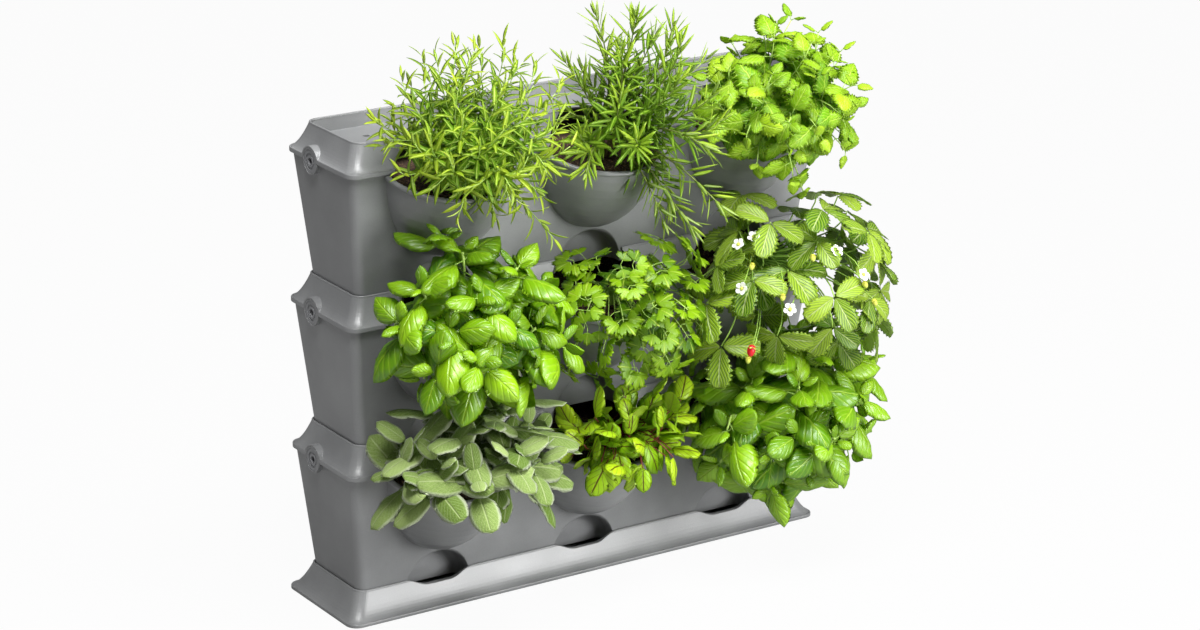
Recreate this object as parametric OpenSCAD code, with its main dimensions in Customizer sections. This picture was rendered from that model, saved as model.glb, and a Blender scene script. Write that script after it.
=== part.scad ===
// Vertical planter: three tubs stacked on a drip tray, with nine planting pockets.
// Origin: middle of the footprint on the floor. +X is right, -Y is the planted front, +Z is up.

/* [Footprint] */
// Width of the base on the floor
base_w = 650; // [600:5:720]
// Depth of the base on the floor
base_d = 150; // [142:1:170]
// How far the base's skirt flares out past its rim, on each side
base_flare = 18.5; // [15:0.5:22]
// Outer corner radius at each rim
corner_r = 14; // [13:0.5:17]

/* [Stack] */
// Height from one rim to the next
pitch = 175; // [168:1:190]
// Height of the base's rim above the floor
base_h = 35; // [32:1:42]
// How deep a tub stands in the rim below it
nest = 17.5; // [15:0.5:19]
// Gap round a tub's foot inside the rim below it
nest_gap = 0.6; // [0.4:0.1:1]

/* [Walls] */
// Wall thickness of the mouldings
wall = 2.5; // [2:0.1:3]
// Thickness of a tub's floor
floor_t = 3; // [2.5:0.1:4]
// Thickness of the stiffening ribs
rib_t = 2; // [1.6:0.1:2.4]

/* [Collar] */
// Height from a tub's top edge up to the rim of its lid
collar_rise = 32.5; // [30:0.5:35]
// How far the lid's collar flares out past its rim, on each side
collar_flare = 16; // [15.5:0.5:18]
// How far the collar's lip hangs down over the tub's edge
lip_drop = 3.5; // [2.5:0.5:5]
// Height of the collar's rounded lip
lip_h = 6; // [5:0.5:7]
// Depth of the ribs under the lid's deck
deck_rib_h = 8; // [5:0.5:10]

/* [Tub] */
// How far a tub's walls lean out between the seam and its top edge
tub_lean = 15.4; // [13:0.2:15.4]
// How much narrower the foot is than the seam, on each side
foot_taper = 1; // [0:0.5:2]

/* [Pockets] */
// Distance between neighbouring planting pockets
plant_pitch = 200; // [190:1:205]
// Outer radius of a pocket's mouth
pocket_r = 75; // [68:1:80]
// Depth of a pocket's bowl below its mouth
pocket_depth = 105; // [98:1:105]
// How far in front of the planter's middle a mouth is centred
pocket_fwd = 67; // [62:1:72]
// How far a mouth's centre lies below the tub's top edge
pocket_drop = 6; // [6:0.5:9]
// Forward tilt of a pocket's mouth, in degrees
pocket_tilt = 15; // [12:1:18]
// Radius of the bead round a pocket's lip
bead_r = 3; // [2.5:0.1:3.4]

/* [Niches] */
// Radius of the arched niche in a tub's foot
niche_r = 43.5; // [38:0.5:45]
// Where the back of a niche lies, in front of the planter's middle
niche_back = 28; // [22:1:32]
// Radius of the round where a niche's side turns into its back
niche_corner = 12; // [8:1:16]
// Radius of the round where a niche runs out of the front wall
niche_flare = 6; // [4:0.5:8]
// How far the base's rim dips in front of a niche
dip_depth = 9; // [5:0.5:10]
// Width of a dip's level stretch
dip_flat_w = 28; // [16:1:36]
// Width of each slope of a dip
dip_slope_w = 32; // [24:1:36]

/* [Hose ports] */
// Where a port lies behind the planter's middle
port_back = 17; // [5:1:24]
// Outer radius of a port's boss
port_r = 15; // [14:0.5:15.5]
// Inner radius of a port's boss
port_bore_r = 12; // [11:0.5:12.5]
// Depth of the boss, from its outer face inwards
port_len = 18; // [14:0.5:18]
// Radius of a plug's face
plug_face_r = 13.3; // [13:0.1:13.3]
// Thickness of a plug's face
plug_face_t = 2; // [1.5:0.1:2.2]
// How long the plug is, from its face to its inner end
plug_len = 16; // [12:0.5:20]
// Radius of the hole for a drip hose
hose_r = 4.25; // [3:0.25:5]
// Gap between the plug's barrel and its bore
plug_gap = 0.15; // [0.1:0.05:0.3]
// Gap between a port's boss and the collar's hood
hood_gap = 0.4; // [0.3:0.05:0.6]
// Thickness of the hood over a port
hood_t = 2.1; // [1.8:0.1:2.4]

/* [Drainage and wall fixing] */
// Radius of the drain holes in a tub's floor
drain_r = 3; // [2:0.25:4]
// Radius of the holes in a lid's deck
deck_drain_r = 4; // [2.5:0.25:5]
// Distance between neighbouring drain holes
drain_pitch = 100; // [92:1:106]
// Where the drain holes lie behind the planter's middle
drain_back = 18; // [8:1:26]
// Radius of a wall screw's hole
screw_r = 3; // [2:0.25:3.5]
// Distance between a tub's two wall screws
screw_pitch = 300; // [240:10:400]
// How far the wall screws lie below the tub's top edge
screw_drop = 13; // [12:0.5:14]
// Radius of the pad round a wall screw
pad_r = 8; // [6:0.5:9]
// How far a pad stands out of the wall at the screw's height
pad_t = 2; // [1.5:0.5:3]

/* [Soil and herbs] */
// How far the soil lies below the tub's top edge
soil_drop = 22; // [20:0.5:28]
// How far the soil lies below a pocket's lip
pocket_soil_drop = 8; // [6:0.5:14]
// Gap between something soft and what holds it
soft_gap = 0.4; // [0.3:0.1:0.6]
// Gap between a crown of leaves and the planter
leaf_gap = 2; // [1.5:0.5:4]
// Where a herb is rooted, in front of its pocket's centre
root_fwd = 27; // [20:1:32]
// Radius of a herb's bunch of stems
stem_r = 9; // [6:0.5:12]
// Width of the tarragon's crown
tarragon_w = 200; // [170:2:230]
// Height of the tarragon's crown
tarragon_h = 190; // [160:2:230]
// Width of the rosemary's crown
rosemary_w = 170; // [150:2:200]
// Height of the rosemary's crown
rosemary_h = 226; // [190:2:260]
// Width of the lemon balm's crown
balm_w = 176; // [150:2:210]
// Height of the lemon balm's crown
balm_h = 180; // [150:2:210]
// Width of the middle basil's crown
basil_w = 204; // [180:2:230]
// Height of the middle basil's crown
basil_h = 176; // [150:2:200]
// Width of the coriander's crown
coriander_w = 182; // [160:2:200]
// Height of the coriander's crown
coriander_h = 168; // [150:2:190]
// Width of the strawberry's crown
strawberry_w = 228; // [200:2:240]
// Height of the strawberry's crown
strawberry_h = 200; // [170:2:220]
// Width of the sage's crown
sage_w = 204; // [180:2:230]
// Height of the sage's crown
sage_h = 176; // [150:2:200]
// Width of the sorrel's crown
sorrel_w = 170; // [150:2:190]
// Height of the sorrel's crown
sorrel_h = 140; // [126:2:170]
// Width of the bottom basil's crown
low_basil_w = 216; // [190:2:240]
// Height of the bottom basil's crown
low_basil_h = 188; // [160:2:210]

/* [Hidden] */
$fn = 64;
reach = 1000;
cut = 1;

// Centres of the four corner arcs at the rims
centre_x = base_w / 2 - base_flare - corner_r;
centre_y = base_d / 2 - base_flare - corner_r;

// Offsets from those centres out to each face
rim_in = corner_r - wall;
lip_out = corner_r + collar_flare;
lip_in = lip_out - wall;
seam_out = rim_in - nest_gap;
foot_out = seam_out - foot_taper;
top_out = seam_out + tub_lean;
skirt_out = corner_r + base_flare;

// Heights inside a module, from the foot of its tub
rim_z = pitch + nest;
tub_h = rim_z - collar_rise;
lip_z = tub_h - lip_drop;
mouth_z = tub_h - pocket_drop;
port_z = lip_z;
soil_z = tub_h - soil_drop;
screw_z = tub_h - screw_drop;

// Places of what repeats
plant_x = [-plant_pitch, 0, plant_pitch];
drain_x = [for (k = [-2.5 : 2.5]) k * drain_pitch];
port_x = centre_x + lip_out;
pad_y = centre_y + tub_out(screw_z) + pad_t;
face_sink = plug_face_t + 0.5;

// The base
basin_in = foot_out - 3.4;
basin_floor = 2 * wall;
end_foot_x = centre_x + basin_in - 24;
band_h = 4;

// The tray's ledge and each lid's deck carry the tub above at this height
function module_z(n) = base_h - nest + (n - 1) * pitch;

// Outer face of a tub's wall at height z
function tub_out(z) = z < nest
  ? foot_out + (seam_out - foot_out) * z / nest
  : seam_out + tub_lean * (z - nest) / (tub_h - nest);

// A collar or skirt falls steeply from the rim and runs out flatter at its lip.
// It is a quadratic curve over run f and drop d, moved inwards along its normal by t.
function flare_point(s, f, d) = [2 * s * (1 - s) * 0.55 * f + s * s * f, -2 * s * (1 - s) * 0.85 * d - s * s * d];
function flare_slope(s, f, d) = [0.55 * f * (1 - s) + 0.45 * f * s, -0.85 * d * (1 - s) - 0.15 * d * s];
function flare(s, f, d, t) = let (v = flare_slope(s, f, d)) flare_point(s, f, d) + t / norm(v) * [v[1], -v[0]];
// Its levels are the outer face from the lip up to the rim at height top, and the inner face down again.
flare_steps = 8;
function flare_face(top, f, d, t) = [for (k = [flare_steps : -1 : 0]) let (p = flare(k / flare_steps, f, d, t))
  [corner_r + p[0], top + p[1], corner_r - t]];
// It starts a skin's depth inside the rim's round face.
skin = 0.3;
function flare_shell(top, f, d) = concat(
  [for (level = flare_face(top, f, d, 0)) level - [skin, 0, 0]],
  [for (k = [flare_steps : -1 : 0]) flare_face(top, f, d, wall)[k] - [skin, 0, 0]]);
// What lies under it, back to the rim's wall
function flare_core(top, f, d) = concat([[rim_in + skin, top - d, rim_in + skin]],
  flare_face(top, f, d, 2 * skin), [[rim_in + skin, top - skin, rim_in + skin]]);

// Sweeps an upright section, drawn from a corner's centre outwards, round the four corners and sides.
// The corner centres lie flare further out than those of the rims.
module around(flare = 0) {
  cx = centre_x + flare;
  cy = centre_y + flare;
  for (k = [0 : 3])
    translate([(k == 0 || k == 3 ? 1 : -1) * cx, (k < 2 ? 1 : -1) * cy, 0]) rotate(90 * k)
      rotate_extrude(angle = 90) children();
  for (turn = [0, 180]) rotate(turn) {
    translate([cx, cy, 0]) rotate([90, 0, 0]) linear_extrude(2 * cy) children();
    translate([-cx, cy, 0]) rotate([90, 0, 90]) linear_extrude(2 * cx) children();
  }
}

// A plate whose edge lies at one offset
module slab(out, low, high) {
  around() translate([0, low]) square([out, high - low]);
  translate([-centre_x, -centre_y, low]) cube([2 * centre_x, 2 * centre_y, high - low]);
}

// A leaning wall moves its corner centres outwards and keeps its corner radius r.
// Each of its levels is [offset, height, r], and its quads are flat also in the corners.
corner_steps = 8;
ring_n = 4 * (corner_steps + 1);
function level_ring(level) = [for (k = [0 : 3], s = [0 : corner_steps])
  let (a = 90 * (k + s / corner_steps), r = level[2])
  [(k == 0 || k == 3 ? 1 : -1) * (centre_x + level[0] - r) + r * cos(a),
   (k < 2 ? 1 : -1) * (centre_y + level[0] - r) + r * sin(a), level[1]]];
function band_faces(lower, upper) = [for (i = [0 : ring_n - 1]) let (j = (i + 1) % ring_n)
  [ring_n * lower + i, ring_n * upper + i, ring_n * upper + j, ring_n * lower + j]];

// A ring-shaped shell round the planter, whose levels run up one face and down the other
module leaning_ring(levels) polyhedron([for (level = levels) each level_ring(level)],
  [for (k = [0 : len(levels) - 1]) each band_faces(k, (k + 1) % len(levels))], convexity = 6);

// A solid block, from its lowest level up to its highest
module leaning_block(levels) polyhedron([for (level = levels) each level_ring(level)],
  concat([[for (i = [0 : ring_n - 1]) i]],
    [for (k = [0 : len(levels) - 2]) each band_faces(k, k + 1)],
    [[for (i = [ring_n - 1 : -1 : 0]) ring_n * (len(levels) - 1) + i]]), convexity = 2);

// An upright wall with a fully rounded top
module round_top(inner, outer, low, high) {
  r = (outer - inner) / 2;
  translate([inner, low]) square([outer - inner, high - r - low]);
  translate([inner + r, high - r]) circle(r);
}

module at_plants() for (x = plant_x) translate([x, 0, 0]) children();
module at_ports() for (side = [-1, 1]) translate([side * port_x, port_back, port_z]) rotate([0, -90 * side, 0]) children();
module at_mouth() translate([0, -pocket_fwd, mouth_z]) rotate([pocket_tilt, 0, 0]) children();

// Half an ellipse turned about the pocket's axis, below the mouth
module bowl(r, depth) {
  steps = 14;
  rotate_extrude() polygon(concat([[0, 0]],
    [for (k = [0 : steps]) [r * cos(90 * k / steps), -depth * sin(90 * k / steps)]]));
}

// The cone that clears the way for a plant from its pocket's mouth up through the collar
throat_h = 42;
throat_top_r = pocket_r - wall - 0.76 * throat_h;
module throat(grow) translate([0, 0, -0.01]) cylinder(h = throat_h, r1 = pocket_r - wall + grow, r2 = throat_top_r + grow);

// The arch over a niche: its side, the round into its back and the round out of the front wall
module niche(grow) {
  front = centre_y + seam_out;
  bend = niche_corner + grow;
  steps = 8;
  back = niche_back - grow;
  side = niche_r + grow;
  rotate([90, 0, 0]) rotate_extrude() polygon(concat(
    [[0, back]],
    [for (k = [0 : steps]) [side - bend * (1 - sin(90 * k / steps)), back + bend * (1 - cos(90 * k / steps))]],
    [for (k = [0 : steps]) [side + niche_flare * (1 - cos(60 * k / steps)), front - 3 + niche_flare * sin(60 * k / steps)]],
    [[side + niche_flare / 2, front + 60], [0, front + 60]]));
}

// A dip in the base's rim, as a prism whose underside falls and rises by a cosine
module dip(grow) {
  steps = 10;
  half = dip_flat_w / 2 + dip_slope_w;
  function fall(k) = (dip_depth + grow) * (1 + cos(180 * k / steps)) / 2;
  translate([0, -centre_y, 0]) rotate([90, 0, 0]) linear_extrude(skirt_out + cut) polygon(concat(
    [for (k = [0 : steps]) [dip_flat_w / 2 + grow + dip_slope_w * k / steps, base_h - fall(k)]],
    [[half + grow, base_h + cut], [-half - grow, base_h + cut]],
    [for (k = [steps : -1 : 0]) [-dip_flat_w / 2 - grow - dip_slope_w * k / steps, base_h - fall(k)]]));
}

// Drip tray under the stack
module base_tray() color("dimgray") {
  run = base_flare - wall / 2;
  drop = base_h - wall / 2 - band_h;
  ledge = base_h - nest;
  difference() {
    union() {
      around() {
        round_top(rim_in, corner_r, ledge - wall, base_h);
        translate([basin_in, ledge - wall]) square([corner_r - basin_in, wall]);
        translate([basin_in, wall]) square([wall, ledge - wall]);
      }
      leaning_ring(flare_shell(base_h - wall / 2, run, drop));
      around(base_flare) round_top(rim_in, corner_r, 0, band_h);
      slab(basin_in + wall / 2, wall, basin_floor);
      // Feet under the floor
      for (x = concat(plant_x, [-end_foot_x, -plant_pitch / 2, plant_pitch / 2, end_foot_x]))
        translate([x - rib_t, -centre_y - basin_in - cut, 0])
          cube([2 * rib_t, 2 * (centre_y + basin_in + cut), wall + cut]);
      // Ribs that carry the tub between its niches
      for (x = [-plant_pitch / 2, plant_pitch / 2]) translate([x - rib_t / 2, -centre_y - basin_in - cut, wall])
        cube([rib_t, 2 * (centre_y + basin_in + cut), ledge - wall]);
      // Closed underside of each dip
      intersection() {
        leaning_ring(flare_core(base_h - wall / 2, run, drop));
        at_plants() dip(wall);
      }
    }
    at_plants() dip(0);
    // Gates that let the water level out between the bays
    for (x = [-plant_pitch / 2, plant_pitch / 2]) translate([x - rib_t, -niche_back / 2, basin_floor])
      cube([2 * rib_t, niche_back, ledge - basin_floor - 2 * wall]);
  }
}

// The outside of a tub, or what lies inset within its walls, between two heights
module tub_block(inset, low, high)
  leaning_block([for (z = [low, nest, high]) [tub_out(z) - inset, z, seam_out - inset]]);

// Planting tub: three pocket bowls in front, three niches in its foot, a hose port in each end
module tub() color("gray") difference() {
  union() {
    difference() {
      union() {
        tub_block(0, 0, tub_h);
        at_plants() at_mouth() {
          bowl(pocket_r, pocket_depth);
          rotate_extrude() translate([pocket_r, 0]) circle(bead_r, $fn = 32);
        }
        for (x = [-screw_pitch / 2, screw_pitch / 2])
          translate([x, centre_y, screw_z]) rotate([-90, 0, 0]) cylinder(r = pad_r, h = pad_y - centre_y);
      }
      difference() {
        tub_block(wall, floor_t, rim_z);
        at_plants() niche(wall);
      }
      at_plants() at_mouth() {
        bowl(pocket_r - wall, pocket_depth - wall);
        throat(0);
      }
    }
    at_ports() cylinder(r = port_r, h = port_len);
  }
  at_plants() niche(0);
  at_ports() {
    translate([0, 0, -cut]) cylinder(r = port_bore_r, h = port_len + 2 * cut);
    translate([0, 0, -cut]) cylinder(r = plug_face_r + plug_gap, h = face_sink + cut);
  }
  for (x = drain_x) translate([x, drain_back, -cut]) cylinder(r = drain_r, h = floor_t + 2 * cut);
  for (x = [-screw_pitch / 2, screw_pitch / 2])
    translate([x, centre_y, screw_z]) rotate([-90, 0, 0]) cylinder(r = screw_r, h = pad_y - centre_y + cut);
}

// Slot in the deck and rim behind each pocket, as wide as the niche above it
module plant_slot() {
  half = niche_r + 1.5;
  translate([-half, -reach, lip_z - cut]) cube([2 * half, reach - niche_back - niche_corner, reach]);
  translate([-half + niche_corner, -reach, lip_z - cut]) cube([2 * (half - niche_corner), reach - niche_back, reach]);
  for (x = [niche_corner - half, half - niche_corner])
    translate([x, -niche_back - niche_corner, lip_z - cut]) cylinder(r = niche_corner, h = reach);
}

// Lid: recessed deck that carries the next tub, and the flared collar round it
module lid() color("darkgray") difference() {
  run = collar_flare - wall / 2;
  drop = rim_z - wall / 2 - (lip_z + lip_h);
  seat_in = top_out - wall - 1;
  hood_r = port_r + hood_gap + hood_t;
  union() {
    around() round_top(rim_in, corner_r, pitch - wall, rim_z);
    leaning_ring(flare_shell(rim_z - wall / 2, run, drop));
    around(collar_flare) {
      round_top(rim_in, corner_r, lip_z + wall / 2, lip_z + lip_h);
      translate([rim_in + wall / 2, lip_z + wall / 2]) circle(wall / 2);
      translate([seat_in - collar_flare, tub_h]) square([lip_in - seat_in + skin, 2]);
    }
    slab(rim_in + cut, pitch - wall, pitch);
    for (x = [-plant_pitch / 2, plant_pitch / 2, -centre_x + 20, centre_x - 20])
      translate([x - rib_t / 2, -centre_y - rim_in, pitch - wall - deck_rib_h])
        cube([rib_t, 2 * (centre_y + rim_in), deck_rib_h + cut]);
    // Short walls that line the collar's openings
    intersection() {
      difference() {
        leaning_ring(flare_core(rim_z - wall / 2, run, drop));
        at_plants() at_mouth() translate([0, 0, -pocket_r]) cylinder(r = 2 * pocket_r, h = pocket_r + bead_r + 1);
      }
      at_plants() at_mouth() throat(wall);
    }
    // Hoods over the hose ports
    intersection() {
      at_ports() cylinder(r = hood_r, h = port_len);
      translate([-reach, -reach, tub_h]) cube([2 * reach, 2 * reach, hood_r]);
    }
  }
  at_plants() {
    at_mouth() throat(0);
    plant_slot();
  }
  at_ports() translate([0, 0, -cut]) cylinder(r = port_r + hood_gap, h = port_len + 2 * cut);
  for (x = drain_x) translate([x, drain_back, pitch - wall - cut]) cylinder(r = deck_drain_r, h = wall + 2 * cut);
}

// Hose plug: a flanged ring pushed into the port
module plug(side) color("dimgray") translate([side * port_x, port_back, port_z]) rotate([0, -90 * side, 0])
  translate([0, 0, face_sink - plug_face_t]) difference() {
    union() {
      cylinder(r = plug_face_r, h = plug_face_t);
      cylinder(r = port_bore_r - plug_gap, h = plug_len);
    }
    translate([0, 0, -cut]) cylinder(r = hose_r, h = plug_len + 2 * cut);
    // Hollow behind the face, and the ring groove in it
    translate([0, 0, plug_face_t + wall]) difference() {
      cylinder(r = port_bore_r - plug_gap - wall, h = plug_len);
      cylinder(r = hose_r + wall, h = plug_len);
    }
    translate([0, 0, -cut]) difference() {
      cylinder(r = port_bore_r - wall, h = cut + plug_face_t / 2);
      cylinder(r = hose_r + wall, h = cut + plug_face_t);
    }
  }

// Soil: one fill through the tub and its pockets, level in the tub and sloping with each mouth
module soil() color("saddlebrown") difference() {
  union() {
    tub_block(wall + soft_gap, floor_t + soft_gap, soil_z);
    intersection() {
      at_plants() at_mouth() intersection() {
        bowl(pocket_r - wall - soft_gap, pocket_depth - wall - soft_gap);
        translate([-reach, -reach, -reach]) cube([2 * reach, 2 * reach, reach - pocket_soil_drop]);
      }
      translate([-reach, -reach, 0]) cube([2 * reach, 2 * reach, soil_z]);
    }
  }
  at_plants() niche(wall + soft_gap);
}

// Space above the pocket's lip and the lid's rim
lip_y = pocket_fwd + pocket_r * cos(pocket_tilt);
lip_top = mouth_z - pocket_r * sin(pocket_tilt) + bead_r;
rise_angle = atan2(rim_z - lip_top, lip_y - centre_y - corner_r);
module above_own() translate([0, -lip_y, lip_top + leaf_gap / cos(rise_angle) + 1]) rotate([rise_angle, 0, 0])
  translate([-reach, -reach, 0]) cube([2 * reach, 2 * reach, reach]);

// Space in front of the tub above and below the bellies of its pockets
belly_angle = 45;
belly_reach = norm([pocket_r * cos(belly_angle - pocket_tilt), pocket_depth * sin(belly_angle - pocket_tilt)]);
module below_next() {
  translate([0, -pocket_fwd, mouth_z + pitch]) rotate([belly_angle, 0, 0])
    translate([-reach, -belly_reach - leaf_gap - reach, -reach]) cube([2 * reach, reach, 2 * reach]);
}
module before_next() translate([-reach, -centre_y - top_out - leaf_gap - reach, -reach]) cube([2 * reach, reach, 2 * reach]);

// Space between the halfway planes to the neighbouring pockets; place is -1, 0 or 1
module own_bay(place) {
  half = plant_pitch / 2 - leaf_gap / 2;
  low = place < 0 ? -reach : place * plant_pitch - half;
  high = place > 0 ? reach : place * plant_pitch + half;
  translate([low, -reach, -reach]) cube([high - low, 2 * reach, 2 * reach]);
}

// A herb: an egg of leaves w wide and h high, leaning lean degrees, on a bunch of stems.
// offset places the egg's middle from the root: to the side, forwards and up.
module herb(n, place, w, h, offset, lean) translate([0, 0, module_z(n)]) {
  steps = 9;
  root = [place * plant_pitch, -pocket_fwd - root_fwd * cos(pocket_tilt), mouth_z - root_fwd * sin(pocket_tilt)];
  intersection() {
    translate(root + [offset[0], -offset[1], offset[2]]) rotate([lean, 0, 0]) rotate_extrude()
      polygon([for (k = [-steps : steps]) [w / 2 * cos(90 * k / steps), h / 2 * sin(90 * k / steps)]]);
    above_own();
    own_bay(place);
    if (n < 3) below_next();
    if (n < 3) before_next();
  }
  translate(root) rotate([pocket_tilt, 0, 0]) translate([0, 0, soft_gap - pocket_soil_drop]) cylinder(r = stem_r, h = 52);
}

module tarragon() color("yellowgreen") herb(3, -1, tarragon_w, tarragon_h, [-11, 50, 70], 8);
module rosemary() color("olivedrab") herb(3, 0, rosemary_w, rosemary_h, [0, 60, 60], 8);
module lemon_balm() color("limegreen") herb(3, 1, balm_w, balm_h, [2, 48, 42], 12);
module basil_middle() color("limegreen") herb(2, -1, basil_w, basil_h, [-18, 52, 38], 25);
module coriander() color("forestgreen") herb(2, 0, coriander_w, coriander_h, [0, 38, 7], 20);
module strawberry() color("green") herb(2, 1, strawberry_w, strawberry_h, [20, 64, 18], 20);
module sage() color("darkseagreen") herb(1, -1, sage_w, sage_h, [-14, 52, 42], 14);
module red_sorrel() color("yellowgreen") herb(1, 0, sorrel_w, sorrel_h, [0, 34, 26], 15);
module basil_bottom() color("forestgreen") herb(1, 1, low_basil_w, low_basil_h, [12, 54, 24], 15);

module tub_1() translate([0, 0, module_z(1)]) tub();
module tub_2() translate([0, 0, module_z(2)]) tub();
module tub_3() translate([0, 0, module_z(3)]) tub();
module lid_1() translate([0, 0, module_z(1)]) lid();
module lid_2() translate([0, 0, module_z(2)]) lid();
module lid_3() translate([0, 0, module_z(3)]) lid();
module soil_1() translate([0, 0, module_z(1)]) soil();
module soil_2() translate([0, 0, module_z(2)]) soil();
module soil_3() translate([0, 0, module_z(3)]) soil();
module plug_left_1() translate([0, 0, module_z(1)]) plug(-1);
module plug_left_2() translate([0, 0, module_z(2)]) plug(-1);
module plug_left_3() translate([0, 0, module_z(3)]) plug(-1);
module plug_right_1() translate([0, 0, module_z(1)]) plug(1);
module plug_right_2() translate([0, 0, module_z(2)]) plug(1);
module plug_right_3() translate([0, 0, module_z(3)]) plug(1);

base_tray();
tub_1();
tub_2();
tub_3();
lid_1();
lid_2();
lid_3();
soil_1();
soil_2();
soil_3();
plug_left_1();
plug_left_2();
plug_left_3();
plug_right_1();
plug_right_2();
plug_right_3();
tarragon();
rosemary();
lemon_balm();
basil_middle();
coriander();
strawberry();
sage();
red_sorrel();
basil_bottom();
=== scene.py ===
"""Vertical planter: three moulded tubs on a drip tray, planted with nine kitchen herbs.

Lengths are in metres unless a name ends in _mm, and angles in radians unless it ends in _deg. +X is right,
-Y is the planted front, +Z is up.
"""
import logging
import math
from collections.abc import Iterator
from dataclasses import dataclass, field, replace
from enum import Enum

import bpy
import numpy as np
from mathutils import Matrix, Vector, noise
from mathutils.bvhtree import BVHTree


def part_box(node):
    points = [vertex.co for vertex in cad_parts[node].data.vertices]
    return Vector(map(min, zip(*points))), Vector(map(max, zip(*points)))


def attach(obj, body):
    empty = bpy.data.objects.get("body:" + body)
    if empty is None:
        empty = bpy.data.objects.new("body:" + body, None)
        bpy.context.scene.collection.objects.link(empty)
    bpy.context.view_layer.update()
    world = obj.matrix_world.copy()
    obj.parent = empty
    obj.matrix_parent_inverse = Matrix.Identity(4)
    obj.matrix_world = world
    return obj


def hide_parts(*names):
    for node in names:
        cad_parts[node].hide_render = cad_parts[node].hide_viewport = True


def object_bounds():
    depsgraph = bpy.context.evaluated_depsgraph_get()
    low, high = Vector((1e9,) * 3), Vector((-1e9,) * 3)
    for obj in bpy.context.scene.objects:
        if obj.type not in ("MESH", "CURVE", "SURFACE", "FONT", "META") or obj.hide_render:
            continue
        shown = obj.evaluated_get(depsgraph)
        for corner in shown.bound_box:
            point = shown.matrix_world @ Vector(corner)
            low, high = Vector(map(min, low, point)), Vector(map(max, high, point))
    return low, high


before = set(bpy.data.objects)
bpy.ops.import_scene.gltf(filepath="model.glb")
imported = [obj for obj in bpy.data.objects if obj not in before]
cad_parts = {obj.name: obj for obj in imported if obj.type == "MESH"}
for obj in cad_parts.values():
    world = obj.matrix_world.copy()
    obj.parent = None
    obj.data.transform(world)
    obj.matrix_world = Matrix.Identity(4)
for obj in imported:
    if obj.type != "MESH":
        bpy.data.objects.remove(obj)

CAD_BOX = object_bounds()
MM = 0.001
UP = np.array([0.0, 0.0, 1.0])
WHITE = (1.0, 1.0, 1.0, 1.0)
ROWS = (1, 2, 3)                                     # The modules, from the floor up
COLUMNS = (-1, 0, 1)                                 # A module's pockets, from left to right
POCKET_PITCH_MM = 200.0
LEAF_REACH = 14 * MM                                 # How far a leaf may pass the CAD's box
LOG = logging.getLogger("vertical_planter")


# Shared helpers


def linear(hex_code: str) -> tuple[float, float, float, float]:
    """Turns an sRGB colour to the linear values that a shader takes.

    Args:
        hex_code: the colour, such as "#6b6c6e".

    Returns:
        Linear red, green and blue, and an alpha of 1.
    """
    parts = [int(hex_code[i:i + 2], 16) / 255 for i in (1, 3, 5)]
    turned = [c / 12.92 if c <= 0.04045 else ((c + 0.055) / 1.055) ** 2.4 for c in parts]
    return (turned[0], turned[1], turned[2], 1.0)


def add_node(tree: bpy.types.NodeTree, kind: str, inputs: dict | None = None,
             **settings: object) -> bpy.types.Node:
    """Adds one node with its settings and links.

    Args:
        tree: the node tree it goes into.
        kind: the node's type name without its "ShaderNode" start.
        inputs: for each input, by name or number, a constant or the socket that feeds it.
        settings: the node's own properties.

    Returns:
        The new node.
    """
    node = tree.nodes.new("ShaderNode" + kind)
    for name, value in settings.items():
        setattr(node, name, value)
    for key, value in (inputs or {}).items():
        if isinstance(value, bpy.types.NodeSocket):
            tree.links.new(value, node.inputs[key])
        else:
            node.inputs[key].default_value = value
    return node


def new_material(name: str) -> tuple[bpy.types.Material, bpy.types.NodeTree]:
    """Starts an empty node material.

    Args:
        name: the material's name.

    Returns:
        The material and its empty node tree.
    """
    material = bpy.data.materials.new(name)
    material.use_nodes = True
    material.node_tree.nodes.clear()
    return material, material.node_tree


def add_object(name: str, data: bpy.types.ID) -> bpy.types.Object:
    """Makes an object and links it to the scene.

    Args:
        name: its name.
        data: its mesh, lamp or camera.

    Returns:
        The object.
    """
    made = bpy.data.objects.new(name, data)
    bpy.context.scene.collection.objects.link(made)
    return made


def unit(vectors: np.ndarray) -> np.ndarray:
    """Scales vectors to a length of one.

    Args:
        vectors: one vector, or an array with a vector in each row.

    Returns:
        The vectors at length one.
    """
    vectors = np.asarray(vectors, float)
    return vectors / np.maximum(np.linalg.norm(vectors, axis=-1, keepdims=True), 1e-12)


def turn_about(vector: np.ndarray, axis: np.ndarray, angle: float) -> np.ndarray:
    """Turns a vector about an axis.

    Args:
        vector: what is turned.
        axis: the axis, at length one.
        angle: the angle in radians.

    Returns:
        The turned vector.
    """
    return (vector * math.cos(angle) + np.cross(axis, vector) * math.sin(angle)
            + axis * float(np.dot(axis, vector)) * (1 - math.cos(angle)))


def square_to(axis: np.ndarray) -> np.ndarray:
    """Finds a direction square to an axis.

    Args:
        axis: the axis, at length one.

    Returns:
        A direction of length one at a right angle to it.
    """
    other = UP if abs(axis[2]) < 0.9 else np.array([1.0, 0.0, 0.0])
    return unit(np.cross(axis, other))


# Finishes


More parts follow.
